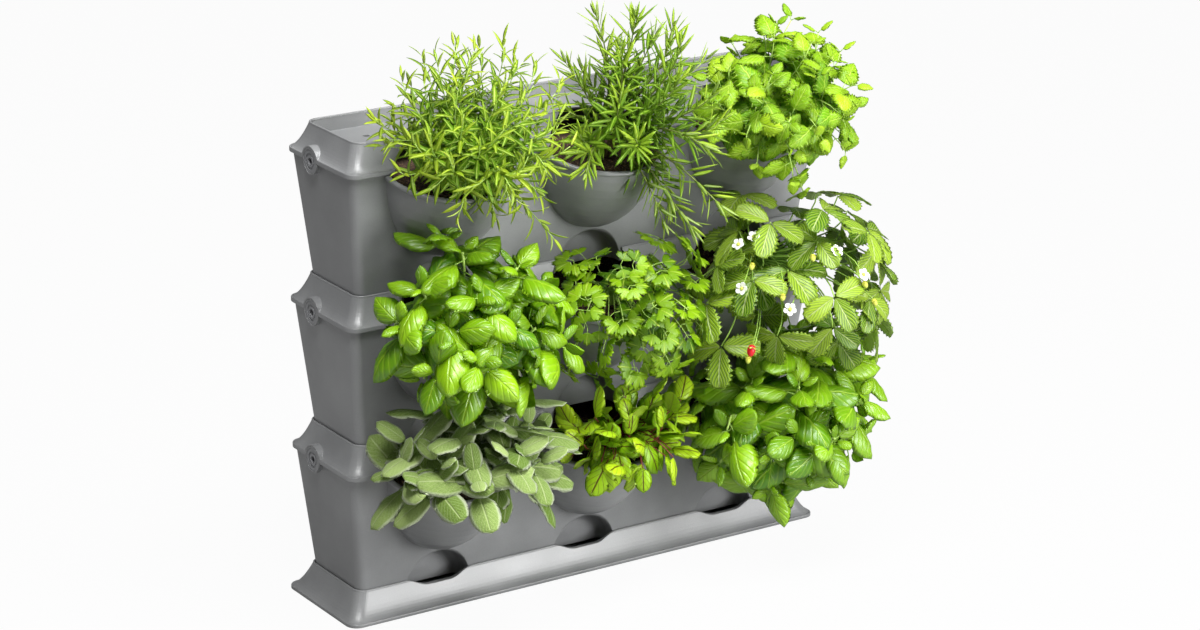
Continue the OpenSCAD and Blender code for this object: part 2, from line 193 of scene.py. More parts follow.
@dataclass(frozen=True)
class MouldedPolypropylene:
    """Injection-moulded polypropylene with a spark-eroded skin: a fine grain that breaks up its soft gloss.

    The grain of the real skin is about 0.2 mm, too fine to show, and is drawn at grain_mm.
    """

    name: str
    colour: str
    worn: str
    ior: float = 1.49
    roughness: float = 0.34
    specular: float = 0.8
    grain_mm: float = 1.5
    grain_height_mm: float = 0.1
    smudge_mm: float = 70.0
    edge_mm: float = 1.2

    def material(self) -> bpy.types.Material:
        """Builds the material.

        Returns:
            The material.
        """
        material, tree = new_material(self.name)
        place = add_node(tree, "TexCoord").outputs["Object"]
        grain = add_node(tree, "TexNoise", {"Vector": place, "Scale": 1 / (self.grain_mm * MM), "Detail": 3.0,
                                            "Roughness": 0.6})
        smudge = add_node(tree, "TexNoise", {"Vector": place, "Scale": 1 / (self.smudge_mm * MM),
                                             "Detail": 4.0})
        spread = add_node(tree, "MapRange", {"Value": smudge.outputs["Fac"], "From Min": 0.35,
                                             "From Max": 0.7})
        fleck = add_node(tree, "MapRange", {"Value": grain.outputs["Fac"], "From Min": 0.3, "From Max": 0.75,
                                            "To Min": -0.12, "To Max": 0.22})
        share = add_node(tree, "Math", {0: spread.outputs[0], 1: fleck.outputs[0]}, operation="ADD",
                         use_clamp=True)
        colour = add_node(tree, "Mix", {"Factor": share.outputs[0], 6: linear(self.colour),
                                        7: linear(self.worn)}, data_type="RGBA")
        gloss = add_node(tree, "MapRange", {"Value": smudge.outputs["Fac"], "From Min": 0.3, "From Max": 0.7,
                                            "To Min": self.roughness - 0.04, "To Max": self.roughness + 0.06})
        edge = add_node(tree, "Bevel", {"Radius": self.edge_mm * MM}, samples=4)
        bump = add_node(tree, "Bump", {"Height": grain.outputs["Fac"], "Strength": 1.0,
                                       "Distance": self.grain_height_mm * MM, "Normal": edge.outputs[0]})
        shader = add_node(tree, "BsdfPrincipled", {"Base Color": colour.outputs[2],
                                                   "Roughness": gloss.outputs[0], "IOR": self.ior,
                                                   "Specular IOR Level": self.specular,
                                                   "Normal": bump.outputs[0]})
        add_node(tree, "OutputMaterial", {"Surface": shader.outputs[0]})
        return material


@dataclass(frozen=True)
class LeafFlesh:
    """A living leaf: waxy skin over green flesh that lets light through, with paler or darker veins."""

    name: str
    young: str
    old: str
    vein: str
    back: str
    margin: str
    side_veins: float = 5.0
    vein_slant: float = 0.5
    vein_width: float = 0.1
    vein_share: float = 0.5
    midrib_width: float = 0.09
    midrib_share: float = 0.8
    # Strength of the painted shade that runs from light to dark across each pleat between the side veins
    painted_pleat_shade: float = 0.0
    vein_depth_mm: float = 0.5
    mottle_mm: float = 3.0
    mottle: float = 0.35
    margin_from: float = 0.9
    roughness: float = 0.42
    specular: float = 0.5
    through: float = 0.36
    through_colour: str = "#bcd800"
    sheen: float = 0.0

    def material(self) -> bpy.types.Material:
        """Builds the material. The leaf attribute holds the place along and across, the tint and the side.

        Returns:
            The material.
        """
        material, tree = new_material(self.name)
        mark = add_node(tree, "Attribute", attribute_name="leaf")
        parts = add_node(tree, "SeparateColor", {"Color": mark.outputs["Color"]})
        along, across, tint = parts.outputs[0], parts.outputs[1], parts.outputs[2]
        centred = add_node(tree, "Math", {0: across, 1: 2.0, 2: -1.0}, operation="MULTIPLY_ADD")
        off = add_node(tree, "Math", {0: centred.outputs[0]}, operation="ABSOLUTE").outputs[0]
        back_by = add_node(tree, "Math", {0: off, 1: -self.vein_slant}, operation="MULTIPLY")
        slanted = add_node(tree, "Math", {0: along, 1: back_by.outputs[0]}, operation="ADD")
        counted = add_node(tree, "Math", {0: slanted.outputs[0], 1: self.side_veins}, operation="MULTIPLY")
        wave = add_node(tree, "Math", {0: counted.outputs[0], 1: 0.5}, operation="PINGPONG")
        side_vein = add_node(tree, "MapRange", {"Value": wave.outputs[0], "From Min": 0.0,
                                                "From Max": self.vein_width, "To Min": self.vein_share,
                                                "To Max": 0.0},
                             interpolation_type="SMOOTHSTEP")
        midrib = add_node(tree, "MapRange", {"Value": off, "From Min": 0.25 * self.midrib_width,
                                             "From Max": self.midrib_width, "To Min": self.midrib_share,
                                             "To Max": 0.0},
                          interpolation_type="SMOOTHSTEP")
        veins = add_node(tree, "Math", {0: side_vein.outputs[0], 1: midrib.outputs[0]}, operation="MAXIMUM")
        place = add_node(tree, "TexCoord").outputs["Object"]
        blotch = add_node(tree, "TexNoise", {"Vector": place, "Scale": 1 / (self.mottle_mm * MM),
                                             "Detail": 3.0})
        spots = add_node(tree, "Math", {0: blotch.outputs["Fac"], 1: self.mottle,
                                        2: -0.5 * (self.mottle + self.painted_pleat_shade)}, operation="MULTIPLY_ADD")
        # Painted shade: across each pleat between the side veins the colour runs from light to dark, as if
        # lit from one side
        slope = add_node(tree, "Math", {0: counted.outputs[0]}, operation="FRACT")
        spots_and_pleat_shade = add_node(tree, "Math", {0: slope.outputs[0], 1: self.painted_pleat_shade, 2: spots.outputs[0]},
                          operation="MULTIPLY_ADD")
        # The colour runs from young to old with the leaf's tint (random tone plus painted shade deep in the
        # crown), its blotches and the painted pleat shade
        tone_and_painted_shade = add_node(tree, "Math", {0: tint, 1: spots_and_pleat_shade.outputs[0]}, operation="ADD", use_clamp=True)
        flesh = add_node(tree, "Mix", {"Factor": tone_and_painted_shade.outputs[0], 6: linear(self.young), 7: linear(self.old)},
                         data_type="RGBA")
        veined = add_node(tree, "Mix", {"Factor": veins.outputs[0], 6: flesh.outputs[2],
                                        7: linear(self.vein)}, data_type="RGBA")
        rim = add_node(tree, "MapRange", {"Value": off, "From Min": self.margin_from, "From Max": 1.0,
                                          "To Max": 0.7})
        rimmed = add_node(tree, "Mix", {"Factor": rim.outputs[0], 6: veined.outputs[2],
                                        7: linear(self.margin)}, data_type="RGBA")
        under = add_node(tree, "Math", {0: mark.outputs["Alpha"], 1: 0.65}, operation="MULTIPLY")
        colour = add_node(tree, "Mix", {"Factor": under.outputs[0], 6: rimmed.outputs[2],
                                        7: linear(self.back)}, data_type="RGBA")
        height = add_node(tree, "Math", {0: blotch.outputs["Fac"], 1: 0.35, 2: veins.outputs[0]},
                          operation="MULTIPLY_ADD")
        bump = add_node(tree, "Bump", {"Height": height.outputs[0], "Strength": 0.8,
                                       "Distance": self.vein_depth_mm * MM}, invert=True)
        skin = add_node(tree, "BsdfPrincipled", {"Base Color": colour.outputs[2],
                                                 "Roughness": self.roughness,
                                                 "Specular IOR Level": self.specular,
                                                 "Sheen Weight": self.sheen, "Sheen Roughness": 0.4,
                                                 "Normal": bump.outputs[0]})
        glow = add_node(tree, "Mix", {"Factor": 0.5, 6: colour.outputs[2], 7: linear(self.through_colour)},
                        data_type="RGBA")
        lit = add_node(tree, "BsdfTranslucent", {"Color": glow.outputs[2], "Normal": bump.outputs[0]})
        both = add_node(tree, "MixShader", {0: self.through, 1: skin.outputs[0], 2: lit.outputs[0]})
        add_node(tree, "OutputMaterial", {"Surface": both.outputs[0]})
        return material


@dataclass(frozen=True)
class StemFlesh:
    """A green or woody stem: matt, streaked along its length."""

    name: str
    tip: str
    foot: str
    roughness: float = 0.5
    streak_mm: float = 2.5
    streak_height_mm: float = 0.3

    def material(self) -> bpy.types.Material:
        """Builds the material, which runs from the foot's colour to the tip's.

        Returns:
            The material.
        """
        material, tree = new_material(self.name)
        mark = add_node(tree, "Attribute", attribute_name="leaf")
        along = add_node(tree, "SeparateColor", {"Color": mark.outputs["Color"]}).outputs[0]
        place = add_node(tree, "TexCoord").outputs["Object"]
        streak = add_node(tree, "TexNoise", {"Vector": place, "Scale": 1 / (self.streak_mm * MM),
                                             "Detail": 2.0})
        share = add_node(tree, "Math", {0: streak.outputs["Fac"], 1: 0.5, 2: along}, operation="MULTIPLY_ADD")
        shifted = add_node(tree, "Math", {0: share.outputs[0], 1: 0.25}, operation="SUBTRACT", use_clamp=True)
        colour = add_node(tree, "Mix", {"Factor": shifted.outputs[0], 6: linear(self.foot),
                                        7: linear(self.tip)}, data_type="RGBA")
        bump = add_node(tree, "Bump", {"Height": streak.outputs["Fac"], "Strength": 0.5,
                                       "Distance": self.streak_height_mm * MM})
        shader = add_node(tree, "BsdfPrincipled", {"Base Color": colour.outputs[2],
                                                   "Roughness": self.roughness, "Normal": bump.outputs[0]})
        add_node(tree, "OutputMaterial", {"Surface": shader.outputs[0]})
        return material


@dataclass(frozen=True)
class PottingMix:
    """Moist peat and bark: dark crumbs, with lighter fibres."""

    name: str = "moist_potting_mix"
    dark: str = "#1c130d"
    crumb: str = "#4a3524"
    fibre: str = "#7a5f43"
    crumb_mm: float = 4.0
    crumb_height_mm: float = 2.5
    grit_mm: float = 2.2

    def material(self) -> bpy.types.Material:
        """Builds the material.

        Returns:
            The material.
        """
        material, tree = new_material(self.name)
        place = add_node(tree, "TexCoord").outputs["Object"]
        crumbs = add_node(tree, "TexNoise", {"Vector": place, "Scale": 1 / (self.crumb_mm * MM),
                                             "Detail": 6.0, "Roughness": 0.7})
        grit = add_node(tree, "TexVoronoi", {"Vector": place, "Scale": 1 / (self.grit_mm * MM),
                                             "Randomness": 1.0})
        body = add_node(tree, "Mix", {"Factor": crumbs.outputs["Fac"], 6: linear(self.dark),
                                      7: linear(self.crumb)}, data_type="RGBA")
        thin = add_node(tree, "MapRange", {"Value": grit.outputs["Distance"], "From Min": 0.62,
                                           "From Max": 0.8})
        colour = add_node(tree, "Mix", {"Factor": thin.outputs[0], 6: body.outputs[2],
                                        7: linear(self.fibre)}, data_type="RGBA")
        bump = add_node(tree, "Bump", {"Height": crumbs.outputs["Fac"], "Strength": 1.0,
                                       "Distance": self.crumb_height_mm * MM})
        shader = add_node(tree, "BsdfPrincipled", {"Base Color": colour.outputs[2], "Roughness": 0.85,
                                                   "Normal": bump.outputs[0]})
        add_node(tree, "OutputMaterial", {"Surface": shader.outputs[0]})
        return material


@dataclass(frozen=True)
class PetalFlesh:
    """A petal, a calyx or a berry: soft, with a slight change of colour from its middle out."""

    name: str
    middle: str
    outer: str
    roughness: float = 0.5
    through: float = 0.2
    spot_mm: float = 1.5
    spot_height_mm: float = 0.4

    def material(self) -> bpy.types.Material:
        """Builds the material.

        Returns:
            The material.
        """
        material, tree = new_material(self.name)
        mark = add_node(tree, "Attribute", attribute_name="leaf")
        along = add_node(tree, "SeparateColor", {"Color": mark.outputs["Color"]}).outputs[0]
        place = add_node(tree, "TexCoord").outputs["Object"]
        spots = add_node(tree, "TexNoise", {"Vector": place, "Scale": 1 / (self.spot_mm * MM), "Detail": 2.0})
        share = add_node(tree, "Math", {0: spots.outputs["Fac"], 1: 0.4, 2: along}, operation="MULTIPLY_ADD",
                         use_clamp=True)
        colour = add_node(tree, "Mix", {"Factor": share.outputs[0], 6: linear(self.middle),
                                        7: linear(self.outer)}, data_type="RGBA")
        bump = add_node(tree, "Bump", {"Height": spots.outputs["Fac"], "Strength": 0.6,
                                       "Distance": self.spot_height_mm * MM})
        skin = add_node(tree, "BsdfPrincipled", {"Base Color": colour.outputs[2], "Roughness": self.roughness,
                                                 "Normal": bump.outputs[0]})
        lit = add_node(tree, "BsdfTranslucent", {"Color": colour.outputs[2]})
        both = add_node(tree, "MixShader", {0: self.through, 1: skin.outputs[0], 2: lit.outputs[0]})
        add_node(tree, "OutputMaterial", {"Surface": both.outputs[0]})
        return material


@dataclass(frozen=True)
class StudioSweep:
    """White seamless paper: it stays white to the camera and keeps a soft shadow."""

    name: str = "white_seamless_paper"
    colour: str = "#a8a8a8"
    whitened: float = 0.96

    def material(self) -> bpy.types.Material:
        """Builds the material.

        Returns:
            The material.
        """
        material, tree = new_material(self.name)
        path = add_node(tree, "LightPath")
        paper = add_node(tree, "BsdfDiffuse", {"Color": linear(self.colour)})
        white = add_node(tree, "Emission", {"Color": WHITE, "Strength": 1.0})
        share = add_node(tree, "Math", {0: path.outputs["Is Camera Ray"], 1: self.whitened},
                         operation="MULTIPLY")
        both = add_node(tree, "MixShader", {0: share.outputs[0], 1: paper.outputs[0], 2: white.outputs[0]})
        add_node(tree, "OutputMaterial", {"Surface": both.outputs[0]})
        return material


# Shapes of leaves


class Outline(Enum):
    """How a leaf's width runs along it: the powers of the distance from its foot and from its tip."""

    OVATE = (0.56, 0.66)
    LANCE = (0.80, 1.05)
    NEEDLE = (0.35, 0.55)
    OVAL = (0.50, 0.50)
    HEART = (0.42, 0.75)
    WEDGE = (0.78, 0.56)
    FAN = (1.0, 0.0)

    def half_width(self, t: np.ndarray) -> np.ndarray:
        """Gives the width at t, from 0 at the foot to 1 at the tip.

        Args:
            t: places along the leaf.

        Returns:
            The share of the full width there.
        """
        a, b = self.value
        peak = a / (a + b)
        return t ** a * (1 - t) ** b / (peak ** a * (1 - peak) ** b)


MIDRIB = np.linspace(-0.1, 1.2, 66)                  # Places along a leaf's midrib, from before its foot
TEMPLATES = 4                                        # How many leaves of one form differ a little
SEED_STEP = 7                                        # Between the seeds of those leaves


@dataclass(frozen=True)
class Template:
    """A mesh for one leaf, one unit long from its foot at the origin along +X, facing +Z."""

    points: np.ndarray
    marks: np.ndarray
    faces: list[tuple[int, ...]]


@dataclass(frozen=True)
class LeafForm:
    """The form of one kind of leaf. Its lengths are shares of the leaf's length.

    A fan is cut into lobes, from lobe_hollow between them to lobe_hollow + lobe_depth on them.
    """

    outline: Outline
    width: float
    bend: float = 0.6
    dome: float = 0.06
    fold: float = 0.0
    teeth: int = 0
    tooth_depth: float = 0.0
    rows: int = 8
    columns: int = 2
    pucker: float = 0.0
    puckers: float = 4.0
    pucker_slant: float = 0.3
    ruffle: float = 0.0
    ruffles: float = 2.2
    twist: float = 0.35
    bend_spread: tuple[float, float] = (0.7, 1.3)
    bend_power: float = 1.3
    thickness: float = 0.014
    tooth_slant: float = 0.35
    fan_angle: float = 1.15
    lobe_hollow: float = 0.60
    lobe_depth: float = 0.40
    lobe_turns: float = 1.5

    def _flat(self, t: np.ndarray, s: np.ndarray) -> tuple[np.ndarray, np.ndarray]:
        """Lays the grid out flat.

        Args:
            t: places along the leaf.
            s: places across it, from -1 to 1.

        Returns:
            The grid's x and y.
        """
        if self.outline is Outline.FAN:
            lobes = self.lobe_hollow + self.lobe_depth * np.abs(np.cos(self.lobe_turns * math.pi * s)) ** 0.5
            nicks = 1 + self.tooth_depth * np.cos(self.teeth * math.pi * s) * t ** 3
            reach = t * lobes * nicks
            return reach * np.cos(self.fan_angle * s), reach * np.sin(self.fan_angle * s)
        width = self.width / 2 * self.outline.half_width(t)
        if self.teeth:
            odd = (np.arange(t.shape[0]) % 2)[:, None]
            edge = np.abs(s) ** 4
            width = width * (1 + self.tooth_depth * np.where(odd, 1, -1) * edge)
            t = t + odd * edge * self.tooth_slant / self.rows
        return t, s * width

    def template(self, seed: int) -> Template:
        """Builds the mesh of one leaf as a thin closed shell.

        Args:
            seed: the leaf's own small differences.

        Returns:
            The leaf's template.
        """
        rng = np.random.default_rng(seed)
        rows, columns = self.rows, self.columns
        t, s = np.meshgrid(np.linspace(0, 1, rows + 1), np.linspace(-1, 1, 2 * columns + 1), indexing="ij")
        x, y = self._flat(t, s)
        share = np.sqrt(np.clip(self.outline.half_width(np.clip(t, 1e-6, 1 - 1e-6)), 0, 1))
        if self.outline is Outline.FAN:
            share = t
        phase = rng.uniform(0, 2 * math.pi, 2)
        lean = rng.uniform(-self.twist, self.twist)
        z = (self.fold * np.abs(s) - self.dome * s ** 2 + lean * self.dome * s) * share
        waves = np.cos(2 * math.pi * self.puckers * (t - self.pucker_slant * np.abs(s)))
        z = z + self.pucker * waves * (1 - s ** 2) * share
        z = z + self.ruffle * np.sin(2 * math.pi * self.ruffles * t + phase[0] + s) * np.abs(s) ** 2 * share
        bend = self.bend * rng.uniform(*self.bend_spread)
        turn = bend * np.sign(MIDRIB) * np.abs(MIDRIB) ** self.bend_power
        step = MIDRIB[1] - MIDRIB[0]
        mid_x = np.concatenate([[0], np.cumsum(np.cos((turn[1:] + turn[:-1]) / 2)) * step])
        mid_z = np.concatenate([[0], -np.cumsum(np.sin((turn[1:] + turn[:-1]) / 2)) * step])
        mid_x -= np.interp(0, MIDRIB, mid_x)
        mid_z -= np.interp(0, MIDRIB, mid_z)
        angle = np.interp(x, MIDRIB, turn)
        top = np.stack([np.interp(x, MIDRIB, mid_x) + z * np.sin(angle), y,
                        np.interp(x, MIDRIB, mid_z) + z * np.cos(angle)], -1)
        along = np.gradient(top, axis=0)
        over = np.gradient(top, axis=1)
        normal = unit(np.cross(along, over) + np.array([0, 0, 1e-9]))
        thinned = np.clip(8 * t * (1.02 - t), 0, 1)      # Full in the middle, thin at the foot and the tip
        under = top - normal * (self.thickness * (1 - s ** 2)[..., None] * thinned[..., None])
        return self._shell(top, under, t, s)

    def _shell(self, top: np.ndarray, under: np.ndarray, t: np.ndarray, s: np.ndarray) -> Template:
        """Joins a leaf's upper and lower skin along its outline.

        Args:
            top: the upper skin's grid of points.
            under: the lower skin's grid.
            t: the grid's places along the leaf.
            s: the grid's places across it.

        Returns:
            The closed shell.
        """
        rows, columns = t.shape
        upper = np.arange(rows * columns).reshape(rows, columns)
        upper[0, :] = 0
        if self.outline is not Outline.FAN:
            upper[-1, :] = upper[-1, 0]
        lower = upper + rows * columns
        lower[0, :] = upper[0, :]
        lower[-1, :] = upper[-1, :]
        lower[:, 0] = upper[:, 0]
        lower[:, -1] = upper[:, -1]
        points = np.concatenate([top.reshape(-1, 3), under.reshape(-1, 3)])
        flat_marks = np.stack([t, (s + 1) / 2, np.zeros_like(t), np.zeros_like(t)], -1).reshape(-1, 4)
        back_marks = flat_marks.copy()
        back_marks[:, 3] = 1.0
        marks = np.concatenate([flat_marks, back_marks])
        faces = []
        for skin, order in ((upper, 1), (lower, -1)):
            quads = np.stack([skin[:-1, :-1], skin[1:, :-1], skin[1:, 1:], skin[:-1, 1:]], -1).reshape(-1, 4)
            for quad in quads:
                ring = list(dict.fromkeys(int(i) for i in quad))[::order]
                if len(ring) > 2:
                    faces.append(tuple(ring))
        used = sorted({i for face in faces for i in face})
        place = {old: new for new, old in enumerate(used)}
        return Template(points[used], marks[used], [tuple(place[i] for i in face) for face in faces])


def template_set(form: LeafForm, seed: int) -> list[Template]:
    """Builds a few leaves of one form that differ a little."""
    return [form.template(seed + SEED_STEP * k) for k in range(TEMPLATES)]


class MeshBatch:
    """Gathers many small shells into one mesh."""

    def __init__(self) -> None:
        """Starts an empty batch."""
        self.points: list[np.ndarray] = []
        self.marks: list[np.ndarray] = []
        self.faces: list[tuple[int, ...]] = []
        self.count = 0

    def add(self, template: Template, origin: np.ndarray, along: np.ndarray, facing: np.ndarray,
            length: float, tint: float) -> None:
        """Adds one leaf.

        Args:
            template: the leaf's mesh.
            origin: where its foot is.
            along: the direction from its foot to its tip.
            facing: the way its upper side faces.
            length: its length.
            tint: its tint, from 0 to 1, which for a leaf holds its random tone and painted shade.
        """
        a = unit(along)
        b = unit(np.cross(facing, a))
        basis = np.stack([a, b, np.cross(a, b)])
        self.points.append(origin + length * (template.points @ basis))
        marks = template.marks.copy()
        marks[:, 2] = tint
        self.marks.append(marks)
        start = self.count
        self.faces.extend(tuple(i + start for i in face) for face in template.faces)
        self.count += len(template.points)

    def add_tube(self, path: np.ndarray, radii: np.ndarray, tint: float = 0.5, sides: int = 6) -> None:
        """Adds a stem as a closed tube.

        Args:
            path: the points of its centre line.
            radii: its radius at each point.
            tint: its own shade, from 0 to 1.
            sides: how many sides it has.
        """
        tangents = unit(np.gradient(path, axis=0))
        side = square_to(tangents[0])
        rings, marks = [], []
        for k, (point, tangent) in enumerate(zip(path, tangents)):
            side = unit(side - tangent * np.dot(side, tangent))
            other = np.cross(tangent, side)
            for j in range(sides):
                angle = 2 * math.pi * j / sides
                rings.append(point + radii[k] * (side * math.cos(angle) + other * math.sin(angle)))
                marks.append((k / (len(path) - 1), j / sides, tint, 0.0))
        start, n = self.count, len(path)
        for k in range(n - 1):
            for j in range(sides):
                i, nxt = start + k * sides + j, start + k * sides + (j + 1) % sides
                self.faces.append((i, nxt, nxt + sides, i + sides))
        self.faces.append(tuple(start + j for j in reversed(range(sides))))
        self.faces.append(tuple(start + (n - 1) * sides + j for j in range(sides)))
        self.points.append(np.array(rings))
        self.marks.append(np.array(marks))
        self.count += n * sides

    def to_object(self, name: str, material: bpy.types.Material, body: str, slot: str) -> bpy.types.Object:
        """Turns the batch into a piece.

        Args:
            name: the piece's name.
            material: its material.
            body: the body it rides on.
            slot: not used.

        Returns:
            The piece.
        """
        mesh = bpy.data.meshes.new(name)
        mesh.from_pydata(np.concatenate(self.points).tolist(), [], self.faces)
        marks = mesh.attributes.new("leaf", "FLOAT_COLOR", "POINT")
        marks.data.foreach_set("color", np.concatenate(self.marks).astype(np.float32).ravel())
        mesh.polygons.foreach_set("use_smooth", np.ones(len(mesh.polygons), bool))
        mesh.materials.append(material)
        mesh.update()
        piece = add_object(name, mesh)
        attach(piece, body)
        LOG.info("%s: %d points, %d faces, on %s", name, len(mesh.vertices), len(mesh.polygons), body)
        return piece


class Clearance:
    """Keeps leaves and stems off the planter's plastic."""

    search = 0.05                                    # How near a surface has to be to matter
    settled = 1e-10                                  # A move, squared, that is too small to make

    def __init__(self, names: list[str]) -> None:
        """Reads the planter's surfaces.

        Args:
            names: the CAD nodes of the plastic pieces.
        """
        points, faces, start = [], [], 0
        for name in names:
            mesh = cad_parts[name].data
            points.extend(v.co for v in mesh.vertices)
            faces.extend(tuple(i + start for i in p.vertices) for p in mesh.polygons)
            start += len(mesh.vertices)
        self.tree = BVHTree.FromPolygons(points, faces)

    def shortfall(self, point: np.ndarray, gap: float) -> np.ndarray:
        """Finds how far a point has to move to be clear.

        Args:
            point: the point.
            gap: how clear it should be.

        Returns:
            The move, or zero.
        """
        place, normal, _, distance = self.tree.find_nearest(Vector(point), self.search)
        if place is None:
            return np.zeros(3)
        height = (Vector(point) - place).dot(normal)
        if height < 0:
            return np.array(normal) * (gap - height)
        return np.array(normal) * (gap - distance) if distance < gap else np.zeros(3)

    def shift(self, points: np.ndarray, gap: float, passes: int = 3) -> np.ndarray:
        """Finds one move that clears all of a leaf's points.

        Args:
            points: the leaf's points.
            gap: how clear it should be.
            passes: how many times it is tried.

        Returns:
            The move.
        """
        move = np.zeros(3)
        for _ in range(passes):
            short = [self.shortfall(p + move, gap) for p in points]
            worst = max(short, key=lambda v: float(v @ v))
            if float(worst @ worst) < self.settled:
                break
            move = move + worst
        return move


# Herbs


@dataclass(frozen=True)
class Pocket:
    """One planting pocket: its row from the floor up, and its column of -1, 0 or 1.

    A tub stands over the two lower rows, so their shoots end in front of it. Near the wall a shoot ends above
    the pocket's sloping lip, and further out it may hang. These limits are in mm from the root.
    """

    row: int
    column: int
    root_y_mm: float = -93.1
    root_height_mm: float = 147.0
    covered_y_mm: float = -30.0
    open_y_mm: float = 60.0
    lip_height_mm: float = 10.0
    lip_slope: float = 0.66
    lip_level_y_mm: float = -48.0
    lip_end_y_mm: float = -58.0

    @property
    def body(self) -> str:
        """The body that the pocket belongs to."""
        return f"module_{self.row}"

    @property
    def root(self) -> np.ndarray:
        """Where the herb stands in the soil."""
        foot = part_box(f"tub_{self.row}")[0].z
        return np.array([self.column * POCKET_PITCH_MM * MM, self.root_y_mm * MM,
                         foot + self.root_height_mm * MM])

    def allows(self, place: np.ndarray, lowest_mm: float) -> bool:
        """Says whether a shoot may end at a place.

        Args:
            place: the place, from the root.
            lowest_mm: how low the herb may hang.

        Returns:
            True if it may.
        """
        _, y, z = place / MM
        behind = y > (self.open_y_mm if self.row == ROWS[-1] else self.covered_y_mm)
        lip = self.lip_height_mm + max(0.0, (y - self.lip_level_y_mm) * self.lip_slope)
        return not (behind or (z < lip and y > self.lip_end_y_mm) or z < lowest_mm)


@dataclass(frozen=True)
class Crown:
    """The egg that a herb's leaves fill: its middle from the root, its size, and its forward lean."""

    side_mm: float
    forward_mm: float
    up_mm: float
    width_mm: float
    height_mm: float
    lean_deg: float

    @property
    def centre(self) -> np.ndarray:
        """Its middle, from the root."""
        return np.array([self.side_mm, -self.forward_mm, self.up_mm]) * MM

    @property
    def half(self) -> np.ndarray:
        """Half its width, depth and height."""
        return np.array([self.width_mm, self.width_mm, self.height_mm]) * MM / 2

    def _turn(self) -> np.ndarray:
        """The egg's axes as the columns of a matrix."""
        lean = math.radians(self.lean_deg)
        return np.array([[1, 0, 0], [0, math.cos(lean), -math.sin(lean)],
                         [0, math.sin(lean), math.cos(lean)]])

    def outward(self, place: np.ndarray) -> np.ndarray:
        """Gives the egg's outward direction through a place.

        Args:
            place: the place, from the root.

        Returns:
            The direction, at length one.
        """
        turn = self._turn()
        local = turn.T @ (place - self.centre)
        return unit(turn @ (local / self.half ** 2))

    def share_out(self, place: np.ndarray) -> float:
        """Says how far out a place lies: 0 at the egg's middle and 1 on its surface."""
        return float(np.linalg.norm(self._turn().T @ (place - self.centre) / self.half))

    def spread(self, count: int, share: float) -> np.ndarray:
        """Spreads places evenly over the egg, each a golden angle on from the last.

        Args:
            count: how many.
            share: how far out they lie, as a share of the egg's size.

        Returns:
            The places, from the root.
        """
        k = np.arange(count) + 0.5
        height = 1 - 2 * k / count
        round_by = np.sqrt(1 - height ** 2)
        angle = math.pi * (1 + math.sqrt(5)) * k
        ball = np.stack([round_by * np.cos(angle), round_by * np.sin(angle), height], -1)
        return self.centre + (ball * (self.half * share)) @ self._turn().T


@dataclass(frozen=True)
class StemCurve:
    """How a stem runs: up out of the soil near the root, then over to its tip.

    Values without a unit are shares, but for clear_from, the first point that is kept off the plastic.
    """

    foot_spread_mm: float = 9.0
    foot_depth_mm: float = 4.0
    drift: float = 0.15
    climb: float = 0.4
    ending: float = 0.35
    high_from: float = 0.25
    outward: float = 0.7
    upward: float = 0.8
    downward: float = -0.5
    clear_from: int = 2


